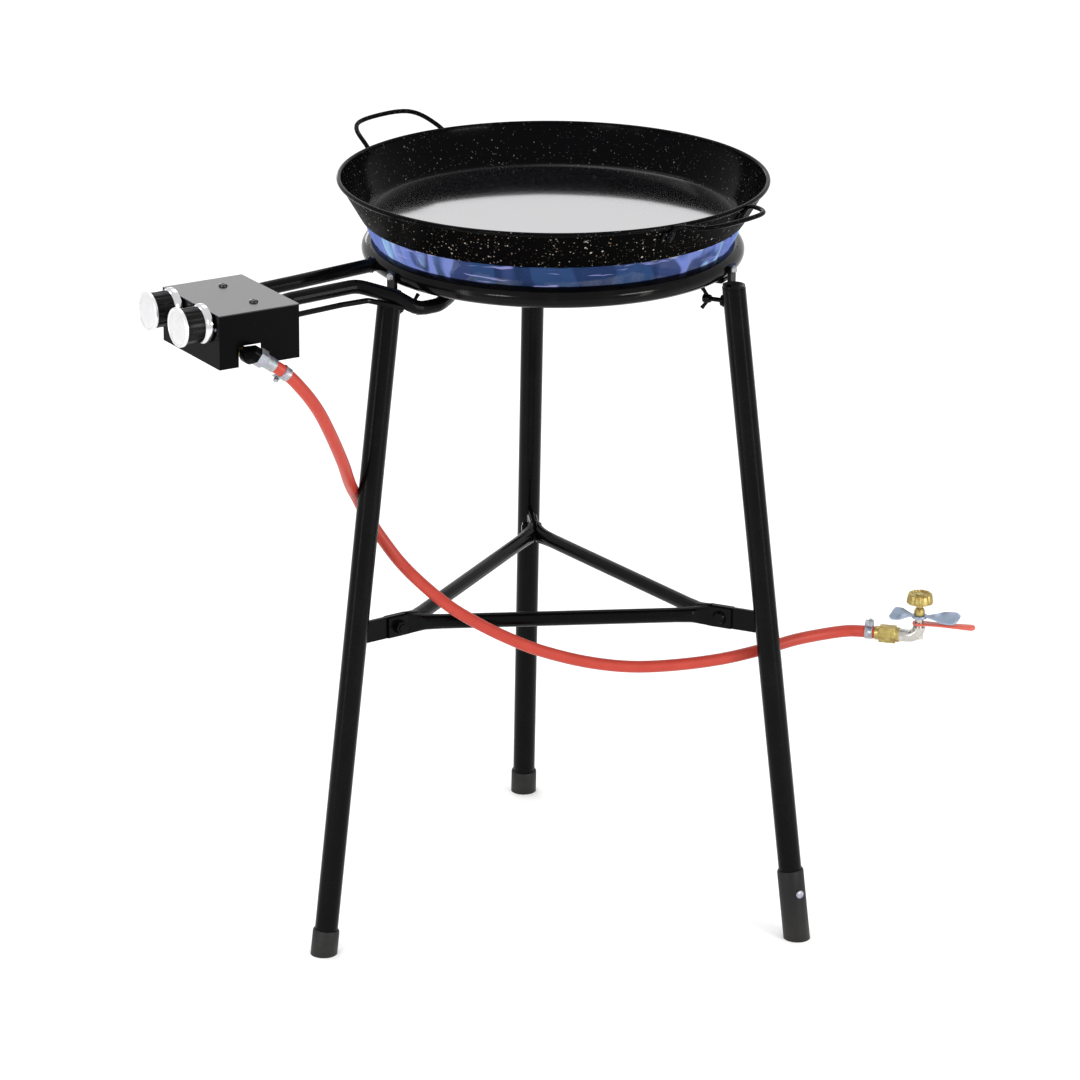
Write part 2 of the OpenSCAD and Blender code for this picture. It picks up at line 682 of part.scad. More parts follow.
module clamp_at(at, dir, turn) {
    translate(at) aim(dir) rotate([0, 0, turn]) {
        difference() {
            cylinder(d = hose_d + 2.4, h = clamp_w);
            translate([0, 0, -over]) cylinder(d = hose_d + 0.1, h = clamp_w + 2);
            translate([5, -1, -over]) cube([10, 2, clamp_w + 2]);
        }
        difference() {
            translate([hose_d / 2 + 0.4, -4, 0]) cube([6, 8, clamp_w]);
            translate([0, -1, -over]) cube([20, 2, clamp_w + 2]);
            translate([hose_d / 2 + 4, -5, clamp_w / 2]) rotate([-90, 0, 0]) cylinder(d = 3, h = 10);
        }
        translate([hose_d / 2 + 4, -5.5, clamp_w / 2]) rotate([-90, 0, 0]) cylinder(d = 3, h = 10.5);
        translate([hose_d / 2 + 4, -7.5, clamp_w / 2]) rotate([-90, 0, 0]) cylinder(d = 5.4, h = 3.5);
    }
}
module hose_clamp_box() {
    color("#b9b2ae") clamp_at(hose_route[1], unit(hose_route[2] - hose_route[1]), 60);
}
valve_yaw = -20;
hose_last = len(hose_route) - 1;
valve_at = hose_route[hose_last];
hose_end_dir = unit(valve_at - hose_route[hose_last - 1]);
module valve_frame() { translate(valve_at) rotate([0, 0, valve_yaw]) children(); }
module hose_clamp_valve() {
    color("#b9b2ae") clamp_at(valve_at - hose_end_dir * (clamp_w + 2), hose_end_dir, 180);
}

// ---- cylinder valve; X away from the hose, Z up ----
stem_x = 48;
nut_l = 27;
module valve_nut() {
    color("#c79a4b") valve_frame() difference() {
        union() {
            rod_x([0, 0, 0], 15, 6);
            translate([5, 0, 0]) rotate([90, 0, 90]) hex_prism(17.5, 18);
            rod_x([23, 0, 0], 16, nut_l - 23);
        }
        rod_x([-over, 0, 0], 6, nut_l + 2);
    }
}
elbow_body_d = 14.5;
elbow_bend_r = 12;
stem_d = 9;
module valve_elbow() {
    color("#c9c6bd") valve_frame() difference() {
        union() {
            rod_x([nut_l, 0, 0], elbow_body_d, stem_x - elbow_bend_r - nut_l);
            translate([stem_x - elbow_bend_r, 0, elbow_bend_r]) rotate([90, 0, 0])
                rotate_extrude(angle = -90, $fn = 64)
                    translate([elbow_bend_r, 0]) circle(d = elbow_body_d - 1);
        }
        rod_x([nut_l - over, 0, 0], 6, 11);
        translate([stem_x, 0, -2]) cylinder(d = stem_d, h = 30);
    }
}
gland_z = 25.3;
module valve_stem() {
    color("#9a9a98") valve_frame() translate([stem_x, 0, -2]) difference() {
        cylinder(d = stem_d, h = gland_z + 2);
        translate([0, 0, gland_z - 12]) cylinder(d = 4 + 2 * turn_clearance, h = 20);
    }
}
gland_h = 8;
module valve_gland() {
    color("#b07f2e") valve_frame() translate([stem_x, 0, gland_z]) difference() {
        union() {
            cylinder(d = 11.5, h = 5);
            translate([0, 0, 5]) cylinder(d1 = 11.5, d2 = 8, h = gland_h - 5);
        }
        translate([0, 0, -over]) cylinder(d = 4 + 2 * turn_clearance, h = 20);
    }
}
module blade_edge(x, w, tilt) {
    translate([x, -w / 2 * cos(tilt), 1 - w / 2 * sin(tilt)]) rotate([tilt, 0, 0]) cube([2, w, 1.6]);
}
module wing_blade(side, reach) {
    rotate([0, 0, side < 0 ? 180 : 0]) {
        hull() {
            translate([6, -3, 0.3]) cube([2, 6, 2.4]);
            blade_edge(reach * 0.5, 12, 35);
        }
        hull() {
            blade_edge(reach * 0.5, 12, 35);
            blade_edge(reach - 2, 13, 48);
        }
    }
}
wing_nut_h = 3;
wing_nut_z = gland_z - wing_nut_h - 0.3;
module valve_wing_nut() {
    color("#9aa6bd") valve_frame() translate([stem_x, 0, wing_nut_z]) difference() {
        union() {
            cylinder(d = 17, h = wing_nut_h);
            wing_blade(-1, wing_nut_reach - 6);
            wing_blade(1, wing_nut_reach + 6);
        }
        translate([0, 0, -over]) cylinder(d = stem_d + 2 * turn_clearance, h = wing_nut_h + 10);
    }
}
wheel_z = 39;
wheel_h = 11;
wheel_flutes = 10;
module handwheel() {
    color("#c2a85a") valve_frame() translate([stem_x, 0, 0]) {
        translate([0, 0, gland_z - 9]) cylinder(d = 4, h = wheel_z - gland_z + 10);
        translate([0, 0, gland_z + gland_h + 0.3]) cylinder(d = 7, h = wheel_z - gland_z - gland_h - 0.3);
        translate([0, 0, wheel_z]) difference() {
            cylinder(d1 = wheel_d, d2 = wheel_d - 4, h = wheel_h);
            translate([0, 0, wheel_h - 2]) cylinder(d = wheel_d - 9, h = 3);
            for (i = [0:wheel_flutes - 1]) rotate([0, 0, 360 * i / wheel_flutes])
                translate([wheel_d / 2 + 1, 0, -over]) cylinder(d = 5.5, h = wheel_h + 2, $fn = 24);
        }
        translate([0, 0, wheel_z + wheel_h - 3]) cylinder(d1 = 9, d2 = 6, h = 3);
    }
}
tether_z = 15.6;
module valve_tether() {
    color("#d8604f") valve_frame() translate([stem_x, 0, 0]) difference() {
        hull() {
            translate([0, 0, tether_z - 1.4]) cylinder(d = 15, h = 2.8, $fn = 32);
            translate([55, 5, tether_z - 4.6]) cylinder(d = 11, h = 6, $fn = 32);
        }
        cylinder(d = stem_d, h = 30);
    }
}

// ---- pan ----
bead_r = pan_bead_d / 2;
rim_z = pan_z + pan_depth;
module pan_body() {
    color("#0c0c0f") translate([0, 0, pan_z]) rotate_extrude($fn = 160) {
        polygon([[0, 0], [pan_base_r - 3, 0], [pan_base_r, 1.5],
            [pan_rim_r + 0.6, pan_depth - 0.6], [pan_rim_r - 1.6, pan_depth + 0.6],
            [pan_base_r - pan_sheet - 2, pan_sheet], [0, pan_sheet]]);
        translate([pan_rim_r, pan_depth]) circle(r = bead_r, $fn = 32);
    }
}
// A handle in its own frame: X outward from the rim, Y along it
handle_reach = 38;
handle_half = 56;
pad_drop = 12;
wall_slope = (pan_rim_r - pan_base_r) / (pan_depth - 2);
pad_x = sqrt(pow(pan_rim_r - pad_drop * wall_slope, 2) - pow(handle_half, 2));
rim_x = sqrt(pow(pan_rim_r + bead_r, 2) - pow(handle_half, 2));
// rise: how far a handle's outer bar is bent up above the rim
module pan_handle(az, rise) {
    out = pan_rim_r + handle_reach;
    half = [[pad_x - 2, handle_half, -pad_drop - 6], [pad_x + 5, handle_half, -pad_drop + 3],
        [rim_x + 5, handle_half, 1], [out - 12, handle_half - 9, rise * 0.75],
        [out - 1, handle_half - 31, rise]];
    p = concat(half, [for (i = [len(half) - 1:-1:0]) [half[i][0], -half[i][1], half[i][2]]]);
    color("#141416") difference() {
        rotate([0, 0, az]) translate([0, 0, rim_z]) {
            tube_along(curve(p, 3), bead_r, [-0.55, 0, 1], 12);
            for (s = [-1, 1]) translate([pad_x, s * handle_half, -pad_drop])
                rotate([0, atan(wall_slope), s * atan(handle_half / pad_x)])
                    cube([5, 16, 14], center = true);
        }
        translate([0, 0, pan_z]) rotate_extrude($fn = 160) {
            polygon([[0, -5], [pan_base_r - 1, -5], [pan_base_r, 1.5],
                [pan_rim_r + 0.6, pan_depth - 0.6], [pan_rim_r - 1.6, pan_depth + 9], [0, pan_depth + 9]]);
            translate([pan_rim_r, pan_depth]) circle(r = bead_r, $fn = 32);
        }
    }
}
module pan_handle_left() { pan_handle(130, 18); }
module pan_handle_right() { pan_handle(311, 4); }

leg_left();
leg_right();
leg_rear();
foot_cap_left();
foot_cap_rear();
levelling_foot();
foot_lock_screw();
leg_brackets();
wing_screw_bosses();
brace_front();
brace_left();
brace_right();
brace_bolts();
brace_nuts();
wing_screw_left();
wing_screw_right();
wing_screw_rear();
outer_ring();
inner_ring();
ring_straps();
mounting_pegs();
pan_supports();
support_bolts();
feed_tube_outer();
feed_tube_inner();
support_rod();
box_cover();
box_chassis();
tube_saddle();
cover_screws();
tap_outer();
tap_inner();
jet_outer();
jet_inner();
gas_rail();
inlet_elbow();
hose_tail();
spindle_outer();
spindle_inner();
skirt_outer();
skirt_inner();
grip_outer();
grip_inner();
face_disc_outer();
face_disc_inner();
index_pins();
gas_hose();
hose_clamp_box();
hose_clamp_valve();
valve_nut();
valve_elbow();
valve_stem();
valve_gland();
valve_wing_nut();
handwheel();
valve_tether();
pan_body();
pan_handle_left();
pan_handle_right();
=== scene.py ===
"""Finish and fine shapes of a gas burner stand with its pan, control box, hose and valve."""
import json
import math
import random

import bmesh
import bpy
from mathutils import Matrix, Vector


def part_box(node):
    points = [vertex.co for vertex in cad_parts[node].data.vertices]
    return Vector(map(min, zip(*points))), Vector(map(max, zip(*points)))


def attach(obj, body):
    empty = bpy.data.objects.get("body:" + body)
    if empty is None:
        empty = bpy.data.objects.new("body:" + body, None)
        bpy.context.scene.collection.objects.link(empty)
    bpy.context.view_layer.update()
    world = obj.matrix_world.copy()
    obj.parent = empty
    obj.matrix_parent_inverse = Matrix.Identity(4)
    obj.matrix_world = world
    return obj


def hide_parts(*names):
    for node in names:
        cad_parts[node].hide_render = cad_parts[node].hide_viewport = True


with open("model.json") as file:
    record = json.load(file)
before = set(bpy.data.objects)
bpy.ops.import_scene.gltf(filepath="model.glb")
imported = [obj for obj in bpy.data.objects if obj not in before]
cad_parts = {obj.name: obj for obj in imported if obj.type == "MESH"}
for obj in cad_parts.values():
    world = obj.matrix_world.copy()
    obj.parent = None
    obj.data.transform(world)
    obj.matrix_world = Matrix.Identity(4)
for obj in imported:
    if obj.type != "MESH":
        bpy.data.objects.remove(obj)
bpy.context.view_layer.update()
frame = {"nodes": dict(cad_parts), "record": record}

MM = 0.001
NODES = frame["nodes"]

# ---------------------------------------------------------------- camera

PICTURE_SIZE = 1080
FOCAL_PIXELS = 4976
SENSOR = 36
CAMERA_AT = Vector((-0.5078, -5.0796, 2.2022))
CAMERA_RIGHT = Vector((0.99546, -0.09500, 0.00631))
CAMERA_UP = Vector((0.02548, 0.32966, 0.94376))


def set_camera():
    """A long lens in front, looking a little down."""
    data = bpy.data.cameras.new("camera")
    data.sensor_width = SENSOR
    data.lens = FOCAL_PIXELS * SENSOR / PICTURE_SIZE
    data.clip_end = 50
    camera = bpy.data.objects.new("camera", data)
    bpy.context.scene.collection.objects.link(camera)
    back = CAMERA_RIGHT.cross(CAMERA_UP).normalized()
    right = CAMERA_UP.cross(back).normalized()
    up = back.cross(right)
    turn = Matrix((right, up, back)).transposed()
    camera.matrix_world = Matrix.Translation(CAMERA_AT) @ turn.to_4x4()
    bpy.context.scene.camera = camera


set_camera()

# ---------------------------------------------------------------- shader maths


class Value:
    """A number, colour or vector socket; numbers take part in arithmetic."""

    def __init__(self, paint, socket):
        self.paint = paint
        self.socket = socket

    def math(self, operation, *others, clamp=False, first=None):
        """A Math node with this value first, or second where first is given."""
        inputs = [self, *others] if first is None else [first, self]
        settings = {"operation": operation, "use_clamp": clamp}
        return self.paint.node("ShaderNodeMath", settings, dict(enumerate(inputs)))

    def __add__(self, other):
        return self.math("ADD", other)

    __radd__ = __add__

    def __mul__(self, other):
        return self.math("MULTIPLY", other)

    __rmul__ = __mul__

    def __sub__(self, other):
        return self.math("SUBTRACT", other)

    def __rsub__(self, other):
        return self.math("SUBTRACT", first=other)

    def above(self, edge, soft=0.02):
        """0 below edge, 1 above it, with a ramp soft wide between."""
        return ((self - edge) * (1 / soft)).math("ADD", 0.5, clamp=True)

    def below(self, edge, soft=0.02):
        return 1 - self.above(edge, soft)

    def clamped(self):
        return self.math("ADD", 0.0, clamp=True)


class Paint:
    """Builds the nodes of one material."""

    def __init__(self, name):
        self.material = bpy.data.materials.new(name)
        self.material.use_nodes = True
        self.tree = self.material.node_tree
        self.tree.nodes.clear()
        self.place = self.node("ShaderNodeTexCoord", {}, {}, "Object")

    def node(self, kind, settings, sockets, output=0):
        """A node of that type, its settings made first, then its sockets set or linked."""
        made = self.tree.nodes.new(kind)
        for name, setting in settings.items():
            setattr(made, name, setting)
        for key, value in sockets.items():
            if isinstance(value, Value):
                self.tree.links.new(value.socket, made.inputs[key])
            else:
                made.inputs[key].default_value = value
        return Value(self, made.outputs[output]) if made.outputs else None

    def noise(self, scale, detail=3.0, roughness=0.55, place=None):
        return self.node("ShaderNodeTexNoise", {}, {
            "Vector": place or self.place, "Scale": scale,
            "Detail": detail, "Roughness": roughness})

    def cells(self, scale, output=0):
        """Distance to the nearest cell's point, or the cell's own colour as output 1."""
        return self.node("ShaderNodeTexVoronoi", {}, {
            "Vector": self.place, "Scale": scale, "Randomness": 1.0}, output)

    def axis(self, index, vector=None):
        return self.node("ShaderNodeSeparateXYZ", {}, {0: vector or self.place}, index)

    def stretched(self, scale, vector=None):
        return self.node("ShaderNodeVectorMath", {"operation": "MULTIPLY"},
                         {0: vector or self.place, 1: scale})

    def mixed(self, factor, low, high):
        """A colour from low to high."""
        colours = [c if isinstance(c, Value) else (*c, 1) for c in (low, high)]
        return self.node("ShaderNodeMix", {"data_type": "RGBA"},
                         {0: factor, 6: colours[0], 7: colours[1]}, 2)

    def bump(self, height, depth, strength):
        sockets = {"Height": height, "Distance": depth, "Strength": strength}
        return self.node("ShaderNodeBump", {}, sockets)

    def finish(self, **sockets):
        """Ends the material with a Principled surface; names use _ for a space."""
        named = {key.replace("_", " "): value for key, value in sockets.items()}
        for key in ("Base Color", "Emission Color"):
            if key in named and not isinstance(named[key], Value):
                named[key] = (*named[key], 1)
        self.node("ShaderNodeOutputMaterial", {}, {
            "Surface": self.node("ShaderNodeBsdfPrincipled", {}, named)})
        return self.material


# ---------------------------------------------------------------- finishes


def black_powder_coat():
    """Smooth satin powder coat with a fine orange peel, dulled by handling."""
    p = Paint("black_powder_coat")
    peel = p.noise(1400, 2)
    handling = p.noise(22, 4, 0.6)
    dust = (p.noise(260, 5, 0.7) * handling).above(0.34, 0.2)
    colour = p.mixed(dust * 0.5, (0.0016, 0.0016, 0.0019), (0.006, 0.006, 0.0066))
    return p.finish(Base_Color=colour, Roughness=handling * 0.14 + 0.16,
                    Specular_IOR_Level=0.07, Normal=p.bump(peel, 0.00004, 0.5))


def burner_black():
    """Heat-proof black, duller and faintly browned where the flames lick."""
    p = Paint("burner_black")
    grit = p.noise(900, 3)
    heat = p.noise(34, 4, 0.62)
    colour = p.mixed(heat.above(0.55, 0.2), (0.0014, 0.0014, 0.0016), (0.0035, 0.003, 0.0029))
    return p.finish(Base_Color=colour, Roughness=heat * 0.08 + 0.09,
                    Specular_IOR_Level=0.09, Normal=p.bump(grit, 0.00006, 0.5))


def box_gloss_paint():
    """Paint on folded sheet, lacquered on the top, with light dust and hairline scuffs."""
    p = Paint("box_gloss_paint")
    peel = p.noise(700, 2)
    streak = p.noise(60, 4, 0.7, p.stretched((1.0, 9.0, 1.0)))
    dust = p.noise(900, 2).above(0.68, 0.05)
    lacquer = p.axis(2).above(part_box("box_cover")[1].z - 1 * MM, 1 * MM)
    colour = p.mixed((dust * 0.4 + streak.above(0.66, 0.05) * 0.3).clamped(),
                     (0.0012, 0.0012, 0.0014), (0.008, 0.008, 0.0085))
    return p.finish(Base_Color=colour, Roughness=streak * 0.1 + 0.2,
                    Specular_IOR_Level=0.03, Coat_Weight=lacquer, Coat_Roughness=0.22,
                    Normal=p.bump(peel, 0.00003, 0.4))


def foot_rubber():
    """Moulded rubber, greyed by floor dust near the ground."""
    p = Paint("foot_rubber")
    grain = p.noise(1800, 3)
    dirt = p.noise(120, 5, 0.7) * p.axis(2).below(0.03, 0.05)
    colour = p.mixed(dirt, (0.003, 0.003, 0.0033), (0.022, 0.021, 0.019))
    return p.finish(Base_Color=colour, Roughness=grain * 0.2 + 0.42, Specular_IOR_Level=0.25,
                    Normal=p.bump(grain, 0.0001, 0.4))


def knob_plastic():
    """Black moulded grip with a fine spark texture."""
    p = Paint("knob_plastic")
    spark = p.noise(2600, 2)
    return p.finish(Base_Color=p.mixed(spark, (0.002, 0.002, 0.0024), (0.006, 0.006, 0.0064)),
                    Specular_IOR_Level=0.1, Roughness=p.noise(40) * 0.15 + 0.2,
                    Normal=p.bump(spark, 0.00004, 0.4))


def knob_chrome():
    """Bright plated skirts with faint handling marks."""
    p = Paint("knob_chrome")
    smear = p.noise(90, 4, 0.65)
    return p.finish(Base_Color=p.mixed(smear, (0.52, 0.52, 0.54), (0.74, 0.74, 0.76)),
                    Metallic=1.0, Roughness=smear * 0.14 + 0.08)


def knob_face():
    """Turned aluminium with fine rings about the knob's own axis."""
    p = Paint("knob_face")
    rings = p.noise(1.0, 2, 0.5, p.stretched((1800, 60, 60)))
    smear = p.noise(120, 3)
    colour = p.mixed(smear, (0.62, 0.62, 0.63), (0.78, 0.78, 0.79))
    return p.finish(Base_Color=colour, Metallic=0.72, Roughness=smear * 0.12 + 0.26,
                    Normal=p.bump(rings, 0.00002, 0.4))


def plated_steel():
    """Zinc plate: pale, slightly blue, with cloudy crystals."""
    p = Paint("plated_steel")
    crystal = p.cells(420, output=1)
    cloud = p.noise(160, 4, 0.6)
    tint = p.mixed(cloud, (0.24, 0.25, 0.27), (0.44, 0.45, 0.48))
    colour = p.node("ShaderNodeMix", {"data_type": "RGBA", "blend_type": "SOFT_LIGHT"},
                    {0: 0.25, 6: tint, 7: crystal}, 2)
    return p.finish(Base_Color=colour, Metallic=0.9, Roughness=cloud * 0.25 + 0.24,
                    Normal=p.bump(cloud, 0.00005, 0.3))


def wing_nut_steel():
    """The wing nut's bluish bright zinc."""
    p = Paint("wing_nut_steel")
    cloud = p.noise(110, 4, 0.6)
    colour = p.mixed(cloud, (0.18, 0.23, 0.32), (0.36, 0.42, 0.52))
    return p.finish(Base_Color=colour, Metallic=0.75, Roughness=cloud * 0.25 + 0.24,
                    Normal=p.bump(p.noise(600), 0.00004, 0.3))


def machined_brass():
    """Yellow brass with turning marks and brown tarnish in patches."""
    p = Paint("machined_brass")
    marks = p.noise(1.0, 2, 0.5, p.stretched((120, 120, 2600)))
    tarnish = p.noise(130, 5, 0.65)
    colour = p.mixed(tarnish.above(0.5, 0.3), (0.46, 0.38, 0.13), (0.26, 0.17, 0.05))
    return p.finish(Base_Color=colour, Metallic=0.8, Roughness=tarnish * 0.25 + 0.3,
                    Normal=p.bump(marks, 0.00004, 0.35))


def nickel_plate():
    """Warm nickel over a casting, clouded by handling."""
    p = Paint("nickel_plate")
    cloud = p.noise(170, 4, 0.6)
    colour = p.mixed(cloud, (0.34, 0.33, 0.31), (0.58, 0.56, 0.52))
    return p.finish(Base_Color=colour, Metallic=0.92, Roughness=cloud * 0.22 + 0.16,
                    Normal=p.bump(p.noise(500), 0.00004, 0.3))


def hose_rubber():
    """Orange gas hose: fine cloth print under the skin and one paler line along it."""
    p = Paint("hose_rubber")
    uv = p.node("ShaderNodeUVMap", {"uv_map": "along"}, {})
    line = (p.axis(0, uv) - 0.30).math("ABSOLUTE").below(0.045, 0.03)
    cloth = p.node("ShaderNodeTexWave", {"wave_type": "BANDS", "bands_direction": "DIAGONAL"},
                   {"Vector": p.stretched((36, 900, 1), uv), "Scale": 1.0, "Distortion": 0.6})
    cloth_height = p.node("ShaderNodeRGBToBW", {}, {0: cloth})
    grime = p.noise(70, 5, 0.65)
    body = p.mixed(grime, (0.33, 0.026, 0.016), (0.43, 0.045, 0.027))
    lined = p.mixed(line * 0.75, body, (0.66, 0.16, 0.11))
    scuffed = p.mixed(p.noise(900, 2).above(0.72, 0.06) * 0.25,
                      lined, (0.22, 0.022, 0.015))
    return p.finish(Base_Color=scuffed, Roughness=grime * 0.2 + 0.3,
                    Specular_IOR_Level=0.3, Normal=p.bump(cloth_height, 0.00005, 0.25))


def tether_plastic():
    """Soft plastic strap, red in cloudy patches."""
    p = Paint("tether_plastic")
    cloud = p.noise(150, 4, 0.6)
    colour = p.mixed(cloud, (0.42, 0.05, 0.03), (0.56, 0.11, 0.075))
    return p.finish(Base_Color=colour, Roughness=cloud * 0.15 + 0.28,
                    Normal=p.bump(p.noise(700), 0.00006, 0.3))


def speck_mask(p, scale, share, size):
    """Round specks in a share of the cells, each of its own strength."""
    distance = p.cells(scale)
    chance = p.axis(0, p.cells(scale, output=1))
    spread = p.axis(1, p.cells(scale, output=1))
    return distance.below(size, 0.03) * chance.above(1 - share, 0.01) * (spread * 0.7 + 0.3)


def pan_enamel():
    """Black vitreous enamel with sprayed white specks of several sizes."""
    p = Paint("pan_enamel")
    ripple = p.noise(55, 2)
    fine = speck_mask(p, 620, 0.10, 0.26)
    middling = speck_mask(p, 300, 0.16, 0.22)
    large = speck_mask(p, 170, 0.10, 0.18)
    drift = p.noise(14, 3).above(0.42, 0.3)
    specks = ((fine + middling * 0.9 + large) * (drift * 0.6 + 0.4)).clamped()
    colour = p.mixed(specks, (0.0014, 0.0014, 0.0018), (0.13, 0.125, 0.12))
    height = ripple + specks * 0.05
    return p.finish(Base_Color=colour, Roughness=specks * 0.1 + 0.15,
                    Specular_IOR_Level=0.03,
                    Normal=p.bump(height, 0.0006, 0.25))


def pan_outer_enamel():
    """The outside of the wall: the same specks on a drier, smoke-dulled black."""
    p = Paint("pan_outer_enamel")
    fine = speck_mask(p, 560, 0.16, 0.27)
    middling = speck_mask(p, 290, 0.24, 0.24)
    large = speck_mask(p, 165, 0.16, 0.2)
    drift = p.noise(16, 3).above(0.42, 0.3)
    specks = ((fine * 0.3 + middling * 0.8 + large) * (drift * 0.5 + 0.5)).clamped()
    warm = p.mixed(p.noise(240, 2).above(0.5, 0.2), (0.40, 0.39, 0.36), (0.20, 0.13, 0.08))
    colour = p.mixed(specks, (0.0010, 0.0009, 0.0009), warm)
    return p.finish(Base_Color=colour, Roughness=p.noise(50, 3) * 0.2 + 0.36,
                    Specular_IOR_Level=0.008, Normal=p.bump(specks, 0.0001, 0.3))


def pan_floor_enamel():
    """The pan's inner floor: the same enamel, polished smooth by use."""
    p = Paint("pan_floor_enamel")
    ripple = p.noise(18, 3)
    use = p.noise(240, 5, 0.7)
    specks = speck_mask(p, 300, 0.10, 0.2) * 0.5
    colour = p.mixed(specks, (0.0045, 0.0045, 0.0055), (0.3, 0.29, 0.27))
    return p.finish(Base_Color=colour, Roughness=use * 0.04 + 0.08,
                    Specular_IOR_Level=1.0, Coat_Weight=1.0, Coat_Roughness=0.06,
                    Normal=p.bump(ripple, 0.0008, 0.15))


FLAME_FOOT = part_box("outer_ring")[1].z
FLAME_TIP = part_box("pan_body")[0].z
FLAME_DEEP = (0.016, 0.040, 0.095)
FLAME_BLUE = (0.16, 0.21, 0.54)
FLAME_PALE = (0.34, 0.60, 0.78)
FLAME_LILAC = (0.42, 0.40, 0.80)
FLAME_DARK = (0.005, 0.008, 0.022)


def flame_gas(name, thickness, strength):
    """Clear burning gas: deep blue in broad tongues, paler towards the sides, with bright licks."""
    p = Paint(name)
    tongue = p.noise(1.0, 1, 0.4, p.stretched((25, 25, 4)))
    streak = p.noise(1.0, 2, 0.5, p.stretched((20, 20, 260)))
    fan = p.noise(1.0, 2, 0.5, p.stretched((60, 60, 18)))
    side = p.axis(0).math("ABSOLUTE") + (tongue - 0.5) * 0.20
    body = p.mixed(side.above(0.105, 0.012), FLAME_DEEP, FLAME_BLUE)
    dark_share = tongue.above(0.50, 0.03) * side.below(0.17, 0.03) * 0.85
    shaded = p.mixed(dark_share.clamped(), body, FLAME_DARK)
    pale_share = fan.above(0.56, 0.14) * side.above(0.17, 0.03) * 0.9
    cyan = p.mixed(pale_share.clamped(), shaded, FLAME_PALE)
    licked = p.mixed((streak.above(0.66, 0.05) * 0.6).clamped(), cyan, FLAME_LILAC)
    cover = (fan * 0.3 + thickness).clamped()
    return p.finish(Base_Color=(0.01, 0.02, 0.06), Roughness=0.6, Specular_IOR_Level=0.0,
                    Alpha=cover, Emission_Color=licked, Emission_Strength=strength)


FINISH = {
    "stand_paint": black_powder_coat(),
    "burner_steel": burner_black(),
    "box_paint": box_gloss_paint(),
    "foot_rubber": foot_rubber(),
    "knob_plastic": knob_plastic(),
    "knob_chrome": knob_chrome(),
    "fitting_steel": plated_steel(),
    "fitting_brass": machined_brass(),
    "fitting_nickel": nickel_plate(),
    "hose_rubber": hose_rubber(),
    "pan_enamel": pan_enamel(),
}
KNOB_FACE = knob_face()
WING_NUT = wing_nut_steel()
TETHER = tether_plastic()
PAN_FLOOR = pan_floor_enamel()
PAN_OUTSIDE = pan_outer_enamel()

# ---------------------------------------------------------------- mesh tools


def finish_object(name, mesh, material, body, stands_for=(), smooth=40):
    """Names the mesh's object, shades it, and rides it on its body."""
    mesh.materials.clear()
    mesh.materials.append(material)
    made = bpy.data.objects.new(name, mesh)
    bpy.context.scene.collection.objects.link(made)
    mesh.shade_smooth()
    mesh.set_sharp_from_angle(angle=math.radians(smooth))
    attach(made, body)
    if stands_for:
        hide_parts(*stands_for)
    return made


def from_bmesh(name, bm, slot, body="stand", material=None, stands_for=(), smooth=40):
    bmesh.ops.recalc_face_normals(bm, faces=bm.faces)
    mesh = bpy.data.meshes.new(name)
    bm.to_mesh(mesh)
    bm.free()
    return finish_object(name, mesh, material or FINISH[slot], body, stands_for, smooth)


def unit(v):
    return Vector(v).normalized()


def ring_faces(bm, rings, closed=True):
    for low, high in zip(rings, rings[1:]):
        count = len(low)
        for k in range(count if closed else count - 1):
            j = (k + 1) % count
            bm.faces.new((low[k], low[j], high[j], high[k]))


def add_spin(bm, profile, place=Matrix(), segments=64, wobble=None):
    """A solid of revolution about Z of (radius, height) pairs, capped where it is open."""
    rings = []
    for radius, height in profile:
        ring = []
        for k in range(segments):
            angle = 2 * math.pi * k / segments
            r = radius * (wobble(angle, height) if wobble else 1)
            at = Vector((r * math.cos(angle), r * math.sin(angle), height))
            ring.append(bm.verts.new(place @ at))
        rings.append(ring)
    ring_faces(bm, rings)
    for ring in (rings[0], rings[-1]):
        bm.faces.new(ring)


def rounded_profile(radius, low, high, edge, steps=4):
    """The outline of a plain disc with rounded rims."""
    turn = [math.pi / 2 * k / steps for k in range(steps + 1)]
    start = [(radius - edge + edge * math.sin(t), low + edge - edge * math.cos(t)) for t in turn]
    end = [(radius - edge + edge * math.cos(t), high - edge + edge * math.sin(t)) for t in turn]
    return start + end


def frames_along(points, up):
    """A turning frame at each point, carried along without twist."""
    frames = []
    side = None
    for i, at in enumerate(points):
        along = (points[min(i + 1, len(points) - 1)] - points[max(i - 1, 0)]).normalized()
        side = (up.cross(along) if side is None else side - along * side.dot(along)).normalized()
        frames.append((at, side, along.cross(side)))
    return frames


def add_tube(bm, points, radius, sides=24, up=Vector((0, 0, 1)), shape=None, uv=None):
    """A tube along points. radius is a number or a function of the point's index."""
    rings = []
    for i, (at, side, top) in enumerate(frames_along(points, up)):
        ring = []
        for k in range(sides):
            t = 2 * math.pi * k / sides
            r = radius(i) if callable(radius) else radius
            x, y = shape(i, t) if shape else (r * math.cos(t), r * math.sin(t))
            ring.append(bm.verts.new(at + side * x + top * y))
        rings.append(ring)
    ring_faces(bm, rings)
    if uv:
        paint_along(bm, rings, points, uv)
    for ring in (rings[0], rings[-1]):
        bm.faces.new(ring)
    return rings


